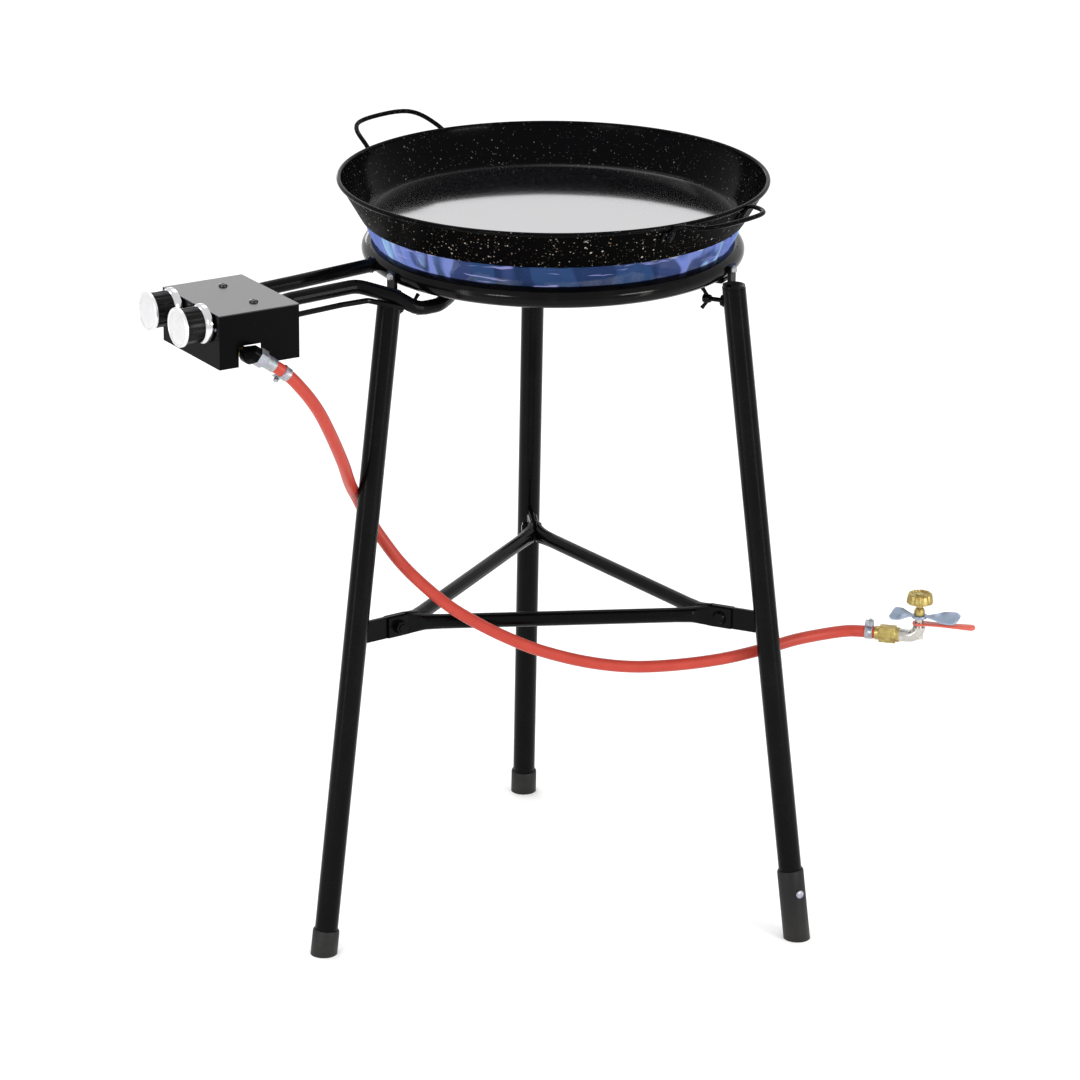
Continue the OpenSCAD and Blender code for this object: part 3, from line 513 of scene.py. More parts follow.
def paint_along(bm, rings, points, name):
    """UVs: once round across, and metres along."""
    layer = bm.loops.layers.uv.new(name)
    place = {}
    run = 0.0
    for i, ring in enumerate(rings):
        run += (points[i] - points[i - 1]).length if i else 0
        for k, vert in enumerate(ring):
            place[vert] = (k / len(ring), run)
    for face in bm.faces:
        across = [place[loop.vert][0] for loop in face.loops]
        for loop in face.loops:
            u, v = place[loop.vert]
            if max(across) - min(across) > 0.5 and u < 0.25:
                u += 1
            loop[layer].uv = (u, v)


def smooth_curve(points, steps):
    """A curve through every point, the one that the construction uses."""
    points = [Vector(p) for p in points]
    last = len(points) - 1
    made = []
    for i in range(last):
        a, b, c, d = (points[max(i - 1, 0)], points[i], points[i + 1], points[min(i + 2, last)])
        for k in range(steps):
            t = k / steps
            made.append(0.5 * (2 * b + (c - a) * t + (2 * a - 5 * b + 4 * c - d) * t * t
                               + (3 * b - a - 3 * c + d) * t ** 3))
    return [*made, points[last]]


def add_box(bm, size, place, edge, steps=2):
    """A block with rounded edges."""
    made = bmesh.ops.create_cube(bm, size=1, matrix=place @ Matrix.Diagonal((*size, 1)))
    edges = list({e for v in made["verts"] for e in v.link_edges})
    bmesh.ops.bevel(bm, geom=edges, offset=edge, segments=steps, affect="EDGES", profile=0.5)


def add_bead(bm, points, radius, seed, closed=True):
    """A weld bead: an uneven rope of overlapping puddles."""
    draw = random.Random(seed)
    swell = [draw.uniform(0.75, 1.2) for _ in points]
    ripple = [swell[i] * (1 + 0.18 * math.sin(i * 2.1)) * radius for i in range(len(points))]
    if closed:
        points, ripple = points + points[:1], ripple + ripple[:1]
    add_tube(bm, points, lambda i: ripple[i], 8)


# ---------------------------------------------------------------- places

LEG_AZIMUTHS = {"left": 210, "right": 330, "rear": 90}
LEG_FOOT_RADIUS = 298 * MM
LEG_SPLAY = math.radians(7)
LEG_RADIUS = 12.5 * MM
LEG_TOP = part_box("mounting_pegs")[1].z - 3 * MM
WING_SCREW_Z = LEG_TOP - 16 * MM
BRACKET_Z = 358
BURNER_Z = (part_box("outer_ring")[0].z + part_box("outer_ring")[1].z) / 2
OUTER_RING = 193 * MM
INNER_RING = 100 * MM
RING_TUBE = 11 * MM
ARM = Matrix.Translation((0, 0, BURNER_Z)) @ Matrix.Rotation(math.radians(28), 4, "Z")
BOX_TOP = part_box("box_cover")[1].z
BOX = Matrix.Translation((-0.350, -0.196, BOX_TOP)) @ Matrix.Rotation(math.radians(26), 4, "Z")
BOX_LENGTH = 92 * MM
KNOB_YS = {"outer": 33 * MM, "inner": -33 * MM}
KNOB_DROP = 14 * MM


# Turns +Z to +X
ONTO_X = Matrix.Rotation(math.pi / 2, 4, "Y")


def leg_radius_at(z):
    return LEG_FOOT_RADIUS - z * math.tan(LEG_SPLAY)


def turned(azimuth):
    """A turn about the stand's axis."""
    return Matrix.Rotation(math.radians(azimuth), 4, "Z")


def on_leg(azimuth):
    """Z along the leg's axis from the floor, X outward."""
    return turned(azimuth) @ Matrix.Translation((LEG_FOOT_RADIUS, 0, 0)) \
        @ Matrix.Rotation(-LEG_SPLAY, 4, "Y")


# ---------------------------------------------------------------- gas hose

HOSE_D = 13 * MM
HOSE_ROUTE = [
    (-0.309, -0.259, 0.700), (-0.301, -0.257, 0.694), (-0.291, -0.252, 0.684),
    (-0.281, -0.246, 0.671), (-0.271, -0.238, 0.656), (-0.261, -0.226, 0.637),
    (-0.252, -0.211, 0.615), (-0.243, -0.192, 0.590), (-0.234, -0.168, 0.562),
    (-0.228, -0.142, 0.538), (-0.223, -0.118, 0.520), (-0.217, -0.099, 0.504),
    (-0.209, -0.088, 0.485), (-0.199, -0.084, 0.466), (-0.188, -0.085, 0.449),
    (-0.171, -0.089, 0.426), (-0.150, -0.097, 0.405), (-0.119, -0.107, 0.380),
    (-0.087, -0.114, 0.361), (-0.055, -0.118, 0.345), (-0.022, -0.119, 0.331),
    (0.026, -0.119, 0.317), (0.075, -0.117, 0.309), (0.124, -0.113, 0.308),
    (0.174, -0.107, 0.311), (0.218, -0.101, 0.318), (0.256, -0.092, 0.325),
    (0.290, -0.084, 0.328), (0.315, -0.082, 0.330), (0.331, -0.087, 0.331),
    (0.344, -0.092, 0.331),
]
HOSE_LINE = smooth_curve(HOSE_ROUTE, 5)
HOSE_LENGTH = sum((b - a).length for a, b in zip(HOSE_LINE, HOSE_LINE[1:]))


def gas_hose():
    """The hose's skin along its whole line."""
    bm = bmesh.new()
    add_tube(bm, HOSE_LINE, HOSE_D / 2, 28, Vector((0, 1, 0)), uv="along")
    return from_bmesh("hose_skin", bm, "hose_rubber", stands_for=("gas_hose",))


def add_clamp(bm, place, width=9 * MM):
    """A bright band round the hose with its ears and cross screw."""
    inner, outer = HOSE_D / 2 + 0.1 * MM, HOSE_D / 2 + 0.9 * MM
    band = [(inner, 0), (outer, 0.3 * MM), (outer + 0.25 * MM, 0.9 * MM), (outer, 1.5 * MM),
            (outer, width - 1.5 * MM), (outer + 0.25 * MM, width - 0.9 * MM),
            (outer, width - 0.3 * MM), (inner, width)]
    gap = math.radians(16)
    sweep = [gap + (2 * math.pi - 2 * gap) * k / 40 for k in range(41)]
    rings = [[bm.verts.new(place @ Vector((r * math.cos(a), r * math.sin(a), z))) for a in sweep]
             for r, z in band]
    ring_faces(bm, rings + rings[:1], closed=False)
    for end in (0, -1):
        bm.faces.new([ring[end] for ring in rings])
    for side in (-1, 1):
        ear = place @ Matrix.Translation((HOSE_D / 2 + 3.6 * MM, side * 2.5 * MM, width / 2))
        add_box(bm, (6 * MM, 1.1 * MM, width), ear, 0.3 * MM)
    screw_at = Matrix.Translation((HOSE_D / 2 + 4 * MM, -5.5 * MM, width / 2))
    across = place @ screw_at @ Matrix.Rotation(-math.pi / 2, 4, "X")
    add_spin(bm, rounded_profile(1.5 * MM, 0, 10 * MM, 0.2 * MM), across, 20)
    add_spin(bm, rounded_profile(2.7 * MM, -2 * MM, 1.2 * MM, 0.4 * MM), across, 24)


def aimed_like_cad(at, direction, roll):
    """Z along direction by a tilt and a turn, then rolled; the construction's own order."""
    v = unit(direction)
    tilt = Matrix.Rotation(math.acos(v.z), 4, "Y")
    return Matrix.Translation(at) @ Matrix.Rotation(math.atan2(v.y, v.x), 4, "Z") @ tilt \
        @ Matrix.Rotation(math.radians(roll), 4, "Z")


def hose_clamps():
    """One clamp over the hose tail and one over the valve's barb."""
    start = Vector(HOSE_ROUTE[1])
    away = Vector(HOSE_ROUTE[2]) - start
    end = Vector(HOSE_ROUTE[-1])
    end_way = unit(end - Vector(HOSE_ROUTE[-2]))
    places = {
        "clamp_band_box": (aimed_like_cad(start, away, 60), "hose_clamp_box"),
        "clamp_band_valve": (aimed_like_cad(end - end_way * 11 * MM, end_way, 180),
                             "hose_clamp_valve"),
    }
    made = []
    for name, (place, node) in places.items():
        bm = bmesh.new()
        add_clamp(bm, place)
        made.append(from_bmesh(name, bm, "fitting_steel", stands_for=(node,)))
    return made


# ---------------------------------------------------------------- cylinder valve

VALVE = Matrix.Translation(HOSE_ROUTE[-1]) @ Matrix.Rotation(math.radians(-20), 4, "Z")
STEM = VALVE @ Matrix.Translation((48 * MM, 0, 0))
WHEEL_Z = 39 * MM
WHEEL_H = 11 * MM
WING_NUT_Z = 22 * MM
TETHER_Z = 15.6 * MM


def handwheel():
    """Fluted brass wheel with a dished top and a domed cap nut, on its neck."""
    def flutes(angle, _):
        return 1 - 0.075 * max(0, math.cos(angle * 10)) ** 2

    bm = bmesh.new()
    top = WHEEL_Z + WHEEL_H
    add_spin(bm, [(2 * MM, 16.4 * MM), (2 * MM, 33.6 * MM), (3.5 * MM, 33.8 * MM),
                  (3.1 * MM, 36 * MM), (3.7 * MM, 38 * MM), (6.5 * MM, WHEEL_Z - 0.2 * MM)],
             STEM, 40)
    add_spin(bm, [(6 * MM, WHEEL_Z), (13.3 * MM, WHEEL_Z), (14.3 * MM, WHEEL_Z + 0.5 * MM),
                  (14.5 * MM, WHEEL_Z + 1.3 * MM), (13.2 * MM, top - 1.6 * MM),
                  (12.4 * MM, top - 0.4 * MM), (11.4 * MM, top), (10.2 * MM, top - 0.3 * MM),
                  (9.4 * MM, top - 1.6 * MM), (5 * MM, top - 2 * MM)], STEM, 120, flutes)
    add_spin(bm, [(4.4 * MM, top - 2.2 * MM), (4.4 * MM, top - 0.9 * MM),
                  (3.6 * MM, top - 0.2 * MM), (1.4 * MM, top)], STEM, 32)
    return from_bmesh("fluted_wheel", bm, "fitting_brass", "handwheel", stands_for=("handwheel",))


def wing_nut():
    """Pressed from sheet: a thin round hub and two broad wings that twist as they spread."""
    bm = bmesh.new()
    place = STEM @ Matrix.Translation((0, 0, WING_NUT_Z))
    bore = 4.6 * MM
    hub = rounded_profile(8.5 * MM, 0, 3 * MM, 0.8 * MM)
    add_spin(bm, [(bore, 0.2 * MM), *hub, (bore, 2.8 * MM), (bore, 0.2 * MM)], place, 48)
    for turn, reach, lean in ((0, 43 * MM, 1), (math.pi, 31 * MM, -1)):
        add_wing(bm, place @ Matrix.Rotation(turn, 4, "Z"), reach, lean)
    return from_bmesh("twisted_wing_nut", bm, "fitting_steel", "wing_nut", WING_NUT,
                      ("valve_wing_nut",))


def add_wing(bm, place, reach, lean):
    """Rows across the blade: a narrow root, a broad dished middle and a clipped corner."""
    thick = 1.4 * MM
    root_x = 7.4 * MM
    loops = []
    for i in range(21):
        t = i / 20
        x = root_x + (reach - root_x) * t
        clipped = 1 - 0.5 * max(0.0, (t - 0.84) / 0.16) ** 2
        half = (2.6 + 4.4 * min(1.0, t * 2.0)) * MM * clipped
        tilt = lean * math.radians(48 * min(1.0, t * 1.5))
        row = []
        for k in range(9):
            s = k / 4 - 1
            dish = 0.9 * MM * s * s * t
            row.append((x + 1.6 * MM * s * t, s * half * math.cos(tilt) - dish * math.sin(tilt),
                        1.2 * MM + s * half * math.sin(tilt) + dish * math.cos(tilt)))
        top = [bm.verts.new(place @ Vector((x, y, z + thick))) for x, y, z in row]
        low = [bm.verts.new(place @ Vector((x, y, z))) for x, y, z in row]
        loops.append(top + low[::-1])
    ring_faces(bm, loops)
    for loop in (loops[0], loops[-1]):
        bm.faces.new(loop)


def valve_elbow():
    """Cast elbow with a rolled collar at the union and a flat seat under the stem."""
    bend, bend_x = 12, 36
    route = [(27, 0), (29, 0), (29.5, 0), (33, 0)]
    route += [(bend_x + bend * math.sin(math.radians(a)), bend - bend * math.cos(math.radians(a)))
              for a in range(0, 91, 6)]
    radii = [7.25, 7.25, 6.9, 6.75] + [6.75] * 14 + [6.95, 6.95]
    bm = bmesh.new()
    add_tube(bm, [VALVE @ Vector((x * MM, 0, z * MM)) for x, z in route],
             lambda i: radii[i] * MM, 40, Vector((0, 1, 0)))
    return from_bmesh("cast_elbow", bm, "fitting_nickel", stands_for=("valve_elbow",))


def valve_tether():
    """A soft strap looped round the stem, thicker and rounder at its tag end."""
    steps, sides = 48, 24
    start, length, sideways = 4.7, 55.6, 5
    bm = bmesh.new()
    rings = []
    for i in range(steps + 1):
        t = i / steps
        round_end = math.sqrt(max(0.0, 1 - max(0.0, (t - 0.91) / 0.09) ** 2)) * 0.94 + 0.06
        half = (7.2 - 2.4 * math.sin(min(1, t * 2.2) * math.pi / 2) + 0.8 * t) * round_end
        thick = 1.2 + 1.7 * t
        deep = thick * (0.4 + 0.6 * round_end)
        ring = []
        for k in range(sides):
            across, rise = math.cos(2 * math.pi * k / sides), math.sin(2 * math.pi * k / sides)
            squared = math.copysign(abs(rise) ** 0.6, rise)
            at = Vector((start + t * length, t * sideways + half * across,
                         1.3 - thick + deep * squared)) * MM
            ring.append(bm.verts.new(STEM @ (at + Vector((0, 0, TETHER_Z)))))
        rings.append(ring)
    ring_faces(bm, rings)
    for ring in (rings[0], rings[-1]):
        bm.faces.new(ring)
    collar = [(start, -1.3), (7.0, -1.3), (7.4, -0.7), (7.4, 0.7), (7.0, 1.2),
              (start, 1.2), (start, -1.3)]
    add_spin(bm, [(r * MM, TETHER_Z + z * MM) for r, z in collar], STEM, 40)
    return from_bmesh("tether_strap", bm, "hose_rubber", material=TETHER,
                      stands_for=("valve_tether",))


hose = gas_hose()
clamps = hose_clamps()
on_hose = [*clamps, handwheel(), wing_nut(), valve_tether(), valve_elbow(),
           *[NODES[n] for n in ("valve_nut", "valve_stem", "valve_gland")]]

# ---------------------------------------------------------------- pan

PAN_FOOT = FLAME_TIP
PAN_RIM_R = 227.5 * MM
PAN_DEPTH = 42 * MM
PAN_RIM_Z = PAN_FOOT + PAN_DEPTH
PAN_BASE_R = 204 * MM
BEAD = 2.5 * MM
WALL_SLOPE = (PAN_RIM_R - PAN_BASE_R) / (PAN_DEPTH - 2 * MM)


def arc_profile(centre, radius, start, end, steps):
    """Points of an arc, from start to end in degrees."""
    return [(centre[0] + radius * math.cos(math.radians(start + (end - start) * k / steps)),
             centre[1] + radius * math.sin(math.radians(start + (end - start) * k / steps)))
            for k in range(steps + 1)]


def pan_shell():
    """Pressed pan: dished floor, swept corner, flared wall and a rolled rim."""
    lean = math.degrees(math.atan(WALL_SLOPE))
    outside = [(0.3 * MM, 0), (90 * MM, 0), (180 * MM, 0)]
    outside += arc_profile((PAN_BASE_R - 4 * MM, 6 * MM), 6 * MM, -90, -lean, 8)
    rim = arc_profile((PAN_RIM_R, PAN_DEPTH), BEAD, -105, 195, 22)
    inside = arc_profile((PAN_BASE_R - 11 * MM, 11.4 * MM), 9 * MM, -lean, -90, 10)
    floor = [(r * MM, (2.4 - 0.4 * (1 - (r / 193) ** 2)) * MM)
             for r in (188, 175, 150, 110, 60, 0.3)]
    profile = [(r, z + PAN_FOOT) for r, z in outside + rim + inside + floor]
    bm = bmesh.new()
    add_spin(bm, profile, segments=220)
    made = from_bmesh("pan_shell", bm, "pan_enamel", "pan", stands_for=("pan_body",), smooth=60)
    made.data.materials.append(PAN_FLOOR)
    made.data.materials.append(PAN_OUTSIDE)
    for face in made.data.polygons:
        middle = face.center
        inward = math.hypot(middle.x, middle.y) < 196 * MM
        if inward and middle.z > PAN_FOOT + 1.2 * MM:
            face.material_index = 1
        elif face.normal.z < 0 and middle.z < PAN_RIM_Z - 2 * MM:
            face.material_index = 2
    return made


PAD_Y = 56 * MM
PAD_DROP = 12 * MM
HANDLE_REACH = 38 * MM


def handle_route(rise):
    """One handle in its own frame: X outward from the rim, Y along it, Z from the rim."""
    half = PAD_Y
    pad_x = math.sqrt((PAN_RIM_R - PAD_DROP * WALL_SLOPE) ** 2 - half ** 2)
    rim_x = math.sqrt((PAN_RIM_R + BEAD) ** 2 - half ** 2)
    out = PAN_RIM_R + HANDLE_REACH
    side = [(pad_x + 2.4 * MM, half, -PAD_DROP - 5.5 * MM),
            (pad_x + 5 * MM, half, -PAD_DROP + 3 * MM),
            (rim_x + 5 * MM, half, 1 * MM), (out - 12 * MM, half - 9 * MM, rise * 0.75),
            (out - 1 * MM, half - 31 * MM, rise)]
    other = [(x, -y, z) for x, y, z in reversed(side)]
    return smooth_curve(side + other, 10), pad_x


def pan_handle(name, azimuth, rise, node):
    """Bent rod with its ends flattened and spot-welded on rounded pads."""
    route, pad_x = handle_route(rise)
    place = turned(azimuth) @ Matrix.Translation((0, 0, PAN_RIM_Z))
    last = len(route) - 1
    bm = bmesh.new()

    def rod(i, t):
        end = min(i, last - i)
        flat = max(0.0, 1 - end / 9)
        return (BEAD * (1 + 0.5 * flat) * math.cos(t), BEAD * (1 - 0.35 * flat) * math.sin(t))

    add_tube(bm, [place @ p for p in route], BEAD, 20, Vector((0, 0, 1)), rod)
    for side in (-1, 1):
        pad = place @ Matrix.Translation((pad_x + 1.4 * MM, side * PAD_Y, -PAD_DROP)) \
            @ Matrix.Rotation(side * math.asin(PAD_Y / PAN_RIM_R), 4, "Z") \
            @ Matrix.Rotation(math.atan(WALL_SLOPE), 4, "Y")
        add_box(bm, (2.4 * MM, 16 * MM, 14 * MM), pad, 1.1 * MM, 3)
        for dz in (-4 * MM, 4 * MM):
            dot = pad @ Matrix.Translation((1.1 * MM, side * 5.6 * MM, dz)) @ ONTO_X
            add_spin(bm, [(1.6 * MM, 0), (1.5 * MM, 0.25 * MM), (0.3 * MM, 0.35 * MM)], dot, 16)
    return from_bmesh(name, bm, "pan_enamel", "pan", stands_for=(node,))


# ---------------------------------------------------------------- knobs


def knob_place(name):
    """Z out of the box's front face along the spindle, from the skirt's foot."""
    at = Matrix.Translation((-BOX_LENGTH / 2 - 1.5 * MM, KNOB_YS[name], -KNOB_DROP))
    return BOX @ at @ Matrix.Rotation(-math.pi / 2, 4, "Y")


def control_knob(name):
    """Bright skirt with a rolled lip, finger-fluted grip and a turned face."""
    place, body = knob_place(name), f"knob_{name}"
    skirt, grip, face = 8 * MM, 20 * MM, 4 * MM
    wide, slim, bore = 20.5 * MM, 18.5 * MM, 4.1 * MM
    bm = bmesh.new()
    add_spin(bm, [(bore, 0), (wide - 1 * MM, 0), (wide, 0.6 * MM), (wide, 4.6 * MM),
                  (wide - 0.4 * MM, 5.4 * MM), (wide - 1.2 * MM, 5.9 * MM),
                  (slim + 0.2 * MM, 7 * MM), (slim, skirt), (bore, skirt), (bore, 0)], place, 96)
    skirt_made = from_bmesh(f"knob_skirt_{name}", bm, "knob_chrome", body,
                            stands_for=(f"skirt_{name}",))

    def flutes(angle, _):
        return 1 - 0.055 * max(0.0, math.cos(angle * 12)) ** 3

    bm = bmesh.new()
    low, high = skirt, skirt + grip
    add_spin(bm, [(slim - 1 * MM, low), (slim - 0.2 * MM, low + 0.3 * MM), (slim, low + 1 * MM),
                  (slim - 0.3 * MM, low + grip / 2), (slim, high - 1 * MM),
                  (slim - 0.2 * MM, high - 0.3 * MM), (slim - 1 * MM, high)], place, 192, flutes)
    grip_made = from_bmesh(f"knob_grip_{name}", bm, "knob_plastic", body,
                           stands_for=(f"grip_{name}",))
    bm = bmesh.new()
    top = high + face
    add_spin(bm, [(wide - 0.8 * MM, high), (wide, high + 0.6 * MM), (wide, top - 1 * MM),
                  (wide - 0.3 * MM, top - 0.4 * MM), (wide - 1.1 * MM, top),
                  (wide - 2 * MM, top - 0.15 * MM), (wide - 2.5 * MM, top - 0.7 * MM),
                  (wide - 3.2 * MM, top - 0.75 * MM), (wide - 4 * MM, top - 0.45 * MM),
                  (8 * MM, top - 0.3 * MM), (0.3 * MM, top - 0.2 * MM)],
             place, 120)
    face_made = from_bmesh(f"knob_face_{name}", bm, "knob_chrome", body, KNOB_FACE,
                           (f"face_disc_{name}",))
    return [skirt_made, grip_made, face_made]


# ---------------------------------------------------------------- control box


def cover_screws():
    """Two domed black screws with a cross recess, on their shanks."""
    recess_z = 2.52 * MM

    def cross(angle, height):
        return 1 - 0.55 * abs(math.sin(2 * angle)) ** 0.5 if height > recess_z else 1

    bm = bmesh.new()
    for side in (-1, 1):
        place = BOX @ Matrix.Translation((9 * MM, side * 33 * MM, 0))
        add_spin(bm, [(4.7 * MM, 0), (4.7 * MM, 0.8 * MM), (4.4 * MM, 1.5 * MM),
                      (3.6 * MM, 2.15 * MM), (2.6 * MM, 2.5 * MM), (2.3 * MM, 2.55 * MM),
                      (1.2 * MM, 1.9 * MM), (0.2 * MM, 1.2 * MM)], place, 48, cross)
        add_spin(bm, [(2.5 * MM, -5.5 * MM), (2.5 * MM, 0.1 * MM)], place, 24)
    return from_bmesh("cover_screw_heads", bm, "box_paint", stands_for=("cover_screws",))


# ---------------------------------------------------------------- stand details


def circle_on(place, radius, count):
    """Points round the Z axis of a place."""
    angles = [2 * math.pi * k / count for k in range(count)]
    return [place @ Vector((radius * math.cos(a), radius * math.sin(a), 0)) for a in angles]


def leg_welds():
    """Beads where bosses and bracket plates meet the legs."""
    bm = bmesh.new()
    boss_r = leg_radius_at(WING_SCREW_Z) - LEG_RADIUS - 0.1 * MM
    for k, azimuth in enumerate(LEG_AZIMUTHS.values()):
        out = turned(azimuth)
        boss = out @ Matrix.Translation((boss_r, 0, WING_SCREW_Z)) @ ONTO_X
        add_bead(bm, circle_on(boss, 6.1 * MM, 40), 0.9 * MM, 11 + k)
        for side in (-1, 1):
            at = leg_radius_at(BRACKET_Z * MM) - LEG_RADIUS + 0.2 * MM
            line = [out @ Vector((at - dz * MM * math.tan(LEG_SPLAY), side * 2.6 * MM,
                                  (BRACKET_Z + dz) * MM)) for dz in range(-11, 12, 2)]
            add_bead(bm, line, 1.1 * MM, 31 + 2 * k + side, closed=False)
    return from_bmesh("leg_weld_beads", bm, "stand_paint")


def burner_welds():
    """Beads where feed tubes, straps and brackets meet the rings."""
    bm = bmesh.new()
    feeds = ((-OUTER_RING - 9.2 * MM, 42.5 * MM, 0), (-INNER_RING - 9.4 * MM, -9 * MM, 0))
    for k, at in enumerate(feeds):
        place = ARM @ Matrix.Translation(at) @ ONTO_X
        add_bead(bm, circle_on(place, 7.6 * MM, 44), 1.2 * MM, 51 + k)
    under = BURNER_Z - RING_TUBE - 0.4 * MM
    for k, azimuth in enumerate((90, 330)):
        for radius in (INNER_RING, OUTER_RING):
            for side in (-1, 1):
                line = [turned(azimuth) @ Vector((radius + d * MM, side * 10.1 * MM,
                                                  under + 0.03 * d * d * MM))
                        for d in range(-6, 7)]
                add_bead(bm, line, 1 * MM, 61 + k, closed=False)
    return from_bmesh("burner_weld_beads", bm, "burner_steel")


def wing_screw(name, azimuth):
    """Forged wings that spread in a Y from a round neck, on a rolled shank."""
    at = Matrix.Translation((leg_radius_at(WING_SCREW_Z), 0, WING_SCREW_Z))
    place = turned(azimuth) @ at @ ONTO_X
    head = -LEG_RADIUS - 16 * MM
    bm = bmesh.new()
    add_spin(bm, [(4.4 * MM, head - 7.6 * MM), (4.6 * MM, head - 7 * MM), (4.5 * MM, head - 1 * MM),
                  (3.9 * MM, head + 0.8 * MM), (2.45 * MM, head + 1.2 * MM), (2.45 * MM, 7.4 * MM)],
             place, 32)
    for side in (-1, 1):
        route = smooth_curve([(side * 2.6 * MM, 0, head - 3 * MM),
                              (side * 5.6 * MM, 0, head - 5.2 * MM),
                              (side * 8.6 * MM, 0, head - 7.4 * MM),
                              (side * 11 * MM, 0, head - 9.3 * MM)], 6)
        line = [place @ p for p in route]
        last = len(line) - 1
        add_tube(bm, line, lambda i: (2.1 - 0.5 * i / last + 0.9 * (i / last) ** 3) * MM
                 * (0.35 if i == last else 1), 16)
    return from_bmesh(f"wing_screw_forged_{name}", bm, "stand_paint", f"wing_screw_{name}",
                      stands_for=(f"wing_screw_{name}",))


def foot_lock_screw():
    """Low domed screw that holds the levelling foot on its leg."""
    place = on_leg(LEG_AZIMUTHS["right"]) @ Matrix.Rotation(math.radians(-35), 4, "Z") \
        @ Matrix.Translation((LEG_RADIUS + 0.3 * MM, 0, 54 * MM)) @ ONTO_X
    head = 14.5 * MM - LEG_RADIUS
    bm = bmesh.new()
    add_spin(bm, [(3 * MM, 0), (3 * MM, head), (4.5 * MM, head), (4.5 * MM, head + 0.9 * MM),
                  (4 * MM, head + 1.6 * MM), (2.6 * MM, head + 2.1 * MM),
                  (0.3 * MM, head + 2.2 * MM)],
             place, 36)
    return from_bmesh("foot_lock_head", bm, "fitting_steel", "level_foot",
                      stands_for=("foot_lock_screw",))


# ---------------------------------------------------------------- flames


def flame_skirt(name, radius, spread, ripple, seed, material):
    """The burning gas of one ring: it rises from the ports and spreads under the pan."""
    draw = random.Random(seed)
    waves = [(count, draw.uniform(0, 2 * math.pi), draw.uniform(0.5, 1))
             for count in (23, 38, 61)]
    rows, columns = 14, 360
    foot, tip = FLAME_FOOT - 2 * MM, FLAME_TIP - 0.4 * MM
    bm = bmesh.new()
    rings = []
    for i in range(rows + 1):
        t = i / rows
        bulge = spread * t ** 1.6 + 3 * MM * math.sin(math.pi * t)
        ring = []
        for k in range(columns):
            angle = 2 * math.pi * k / columns
            lick = sum(size * math.sin(count * angle + phase + 2.2 * t)
                       for count, phase, size in waves)
            r = radius + bulge + ripple * lick * (0.3 + t)
            at = (r * math.cos(angle), r * math.sin(angle), foot + (tip - foot) * t)
            ring.append(bm.verts.new(at))
        rings.append(ring)
    ring_faces(bm, rings)
    made = from_bmesh(name, bm, "burner_steel", material=material, smooth=180)
    made.visible_shadow = False
    return made


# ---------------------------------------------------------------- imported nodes

EDGE_WIDTHS = {
    "box_chassis": 0.3, "tube_saddle": 0.4, "pan_supports": 0.7, "ring_straps": 0.6,
    "leg_brackets": 0.8, "foot_cap_left": 1.2, "foot_cap_rear": 1.2, "levelling_foot": 1.0,
    "mounting_pegs": 0.6, "wing_screw_bosses": 0.6, "brace_bolts": 0.6, "brace_nuts": 0.5,
    "support_bolts": 0.4, "valve_nut": 0.5, "valve_gland": 0.4,
    "hose_tail": 0.4, "inlet_elbow": 0.8, "index_pins": 0.2,
}


def soften(node, width):
    """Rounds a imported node's hard edges."""
    weld = node.modifiers.new("weld", "WELD")
    weld.merge_threshold = 0.00002
    bevel = node.modifiers.new("bevel", "BEVEL")
    bevel.width = width * MM
    bevel.segments = 3
    bevel.limit_method = "ANGLE"
    bevel.angle_limit = math.radians(32)
    bevel.harden_normals = True


def finish_nodes():
    """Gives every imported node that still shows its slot's finish."""
    slots = {part["node"]: part["material_slot"] for part in frame["record"]["subparts"]}
    for name, node in NODES.items():
        if node.hide_render:
            continue
        node.data.materials.clear()
        node.data.materials.append(FINISH[slots[name]])
        if name in EDGE_WIDTHS:
            soften(node, EDGE_WIDTHS[name])


pan_shell()
pan_handle("handle_rod_left", 130, 18 * MM, "pan_handle_left")
pan_handle("handle_rod_right", 311, 4 * MM, "pan_handle_right")
for knob in KNOB_YS:
    control_knob(knob)
cover_screws()
leg_welds()
burner_welds()
for leg, azimuth in LEG_AZIMUTHS.items():
    wing_screw(leg, azimuth)
foot_lock_screw()
OUTER_FLAME = flame_gas("outer_flame", 0.78, 1.0)
INNER_FLAME = flame_gas("inner_flame", 0.55, 0.7)
flame_skirt("outer_flames", OUTER_RING - 3 * MM, 10 * MM, 1.0 * MM, 5, OUTER_FLAME)
flame_skirt("outer_flames_inside", OUTER_RING - 7 * MM, -9 * MM, 1.2 * MM, 6, INNER_FLAME)
flame_skirt("inner_flames", INNER_RING, 8 * MM, 1.2 * MM, 7, INNER_FLAME)
finish_nodes()

# ---------------------------------------------------------------- studio


def studio_floor():
    """A plain pale floor."""
    bm = bmesh.new()
    bmesh.ops.create_grid(bm, x_segments=1, y_segments=1, size=14)
    mesh = bpy.data.meshes.new("floor")
    bm.to_mesh(mesh)
    bm.free()
    p = Paint("floor_paper")
    grain = p.noise(60, 3)
    pale = p.mixed(grain, (0.93, 0.93, 0.93), (0.96, 0.96, 0.96))
    mesh.materials.append(p.finish(Base_Color=pale, Roughness=grain * 0.1 + 0.75,
                                   Specular_IOR_Level=0.1))
    floor = bpy.data.objects.new("floor", mesh)
    bpy.context.scene.collection.objects.link(floor)


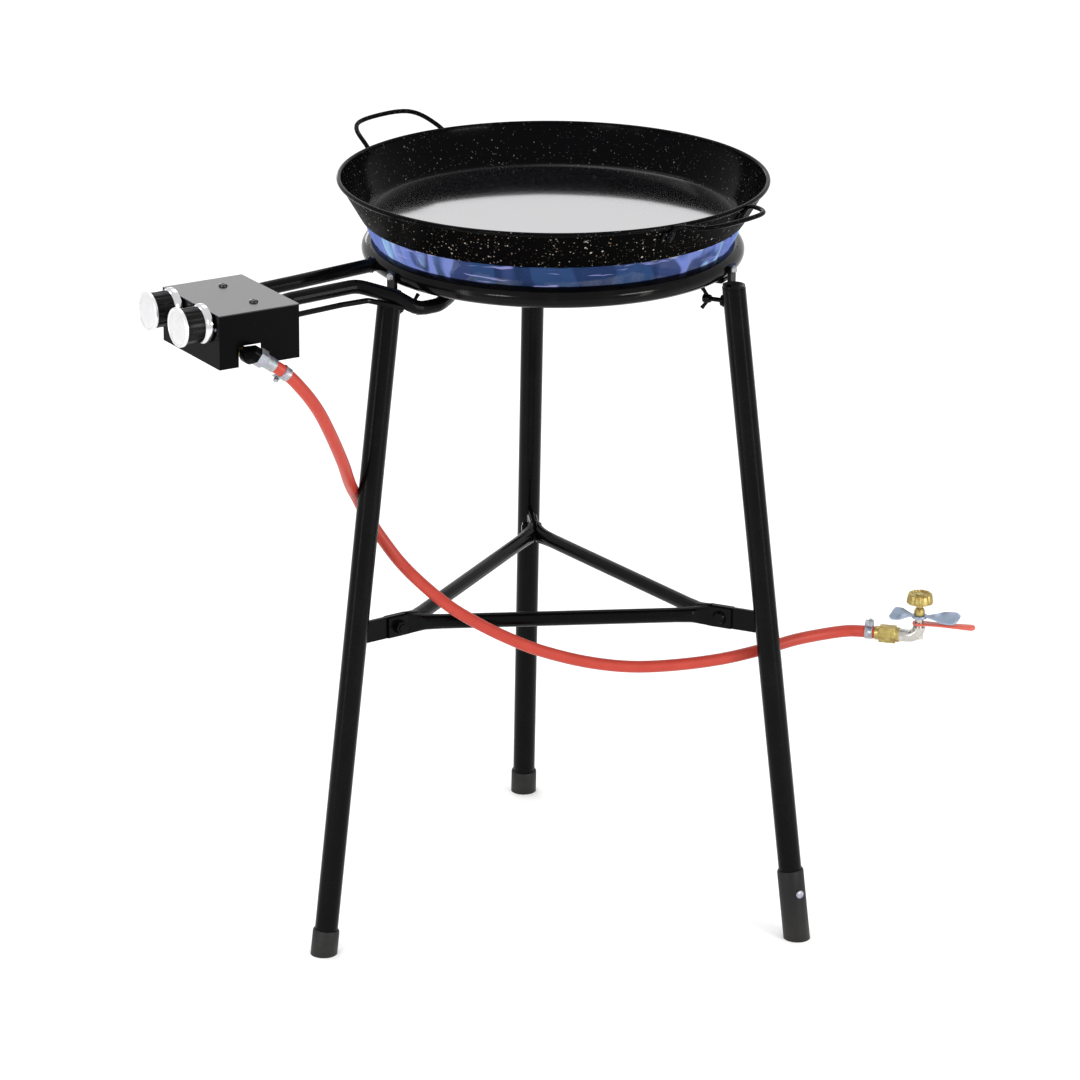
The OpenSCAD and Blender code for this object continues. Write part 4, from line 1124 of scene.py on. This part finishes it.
def soft_light(name, at, target, size, power, colour=(1, 1, 1)):
    """A rectangular lamp aimed at its target."""
    data = bpy.data.lights.new(name, "AREA")
    data.shape = "RECTANGLE"
    data.size, data.size_y = size
    data.energy = power
    data.color = colour
    lamp = bpy.data.objects.new(name, data)
    bpy.context.scene.collection.objects.link(lamp)
    aim = (Vector(target) - Vector(at)).to_track_quat("-Z", "Y")
    lamp.matrix_world = Matrix.Translation(at) @ aim.to_matrix().to_4x4()
    lamp.visible_camera = False


def studio_world():
    """Even light from all round, and white behind the object, also where metal mirrors it."""
    world = bpy.data.worlds.new("studio")
    bpy.context.scene.world = world
    world.use_nodes = True
    tree = world.node_tree
    tree.nodes.clear()
    path = tree.nodes.new("ShaderNodeLightPath")
    sees_backdrop = path.outputs["Is Camera Ray"]
    for ray in ("Is Glossy Ray", "Is Transmission Ray"):
        either = tree.nodes.new("ShaderNodeMath")
        either.operation = "MAXIMUM"
        tree.links.new(sees_backdrop, either.inputs[0])
        tree.links.new(path.outputs[ray], either.inputs[1])
        sees_backdrop = either.outputs[0]
    mix = tree.nodes.new("ShaderNodeMixShader")
    tree.links.new(sees_backdrop, mix.inputs[0])
    for socket, strength in ((1, 1.06), (2, 1.0)):
        shade = tree.nodes.new("ShaderNodeBackground")
        shade.inputs["Color"].default_value = (1, 1, 1, 1)
        shade.inputs["Strength"].default_value = strength
        tree.links.new(shade.outputs[0], mix.inputs[socket])
    end = tree.nodes.new("ShaderNodeOutputWorld")
    tree.links.new(mix.outputs[0], end.inputs["Surface"])


studio_floor()
studio_world()
soft_light("sky_box", (-0.6, 1.2, 3.0), (0, 0, 0.5), (1.6, 1.2), 16)
soft_light("left_strip", (-1.3, -0.9, 0.6), (0, -0.1, 0.45), (0.10, 1.15), 3.5)
soft_light("right_strip", (1.3, -1.2, 0.6), (0, -0.1, 0.45), (0.10, 1.15), 3.5)
soft_light("left_glint", (-1.45, -1.98, 1.15), (0, 0, 0.75), (0.5, 0.25), 14)
soft_light("right_glint", (1.68, -1.80, 1.15), (0, 0, 0.75), (0.9, 0.25), 22, (1, 0.97, 0.93))
soft_light("back_glint", (-0.75, 3.4, 1.12), (0.27, 0.05, 0.8), (0.6, 0.35), 3)
soft_light("pan_reflector", (0.2, 3.4, 2.05), (0, 0.05, 0.79), (2.5, 0.78), 3.2, (0.96, 0.95, 1))

view = bpy.context.scene.view_settings
view.view_transform = "Standard"
bpy.context.scene.render.resolution_x = PICTURE_SIZE
bpy.context.scene.render.resolution_y = PICTURE_SIZE
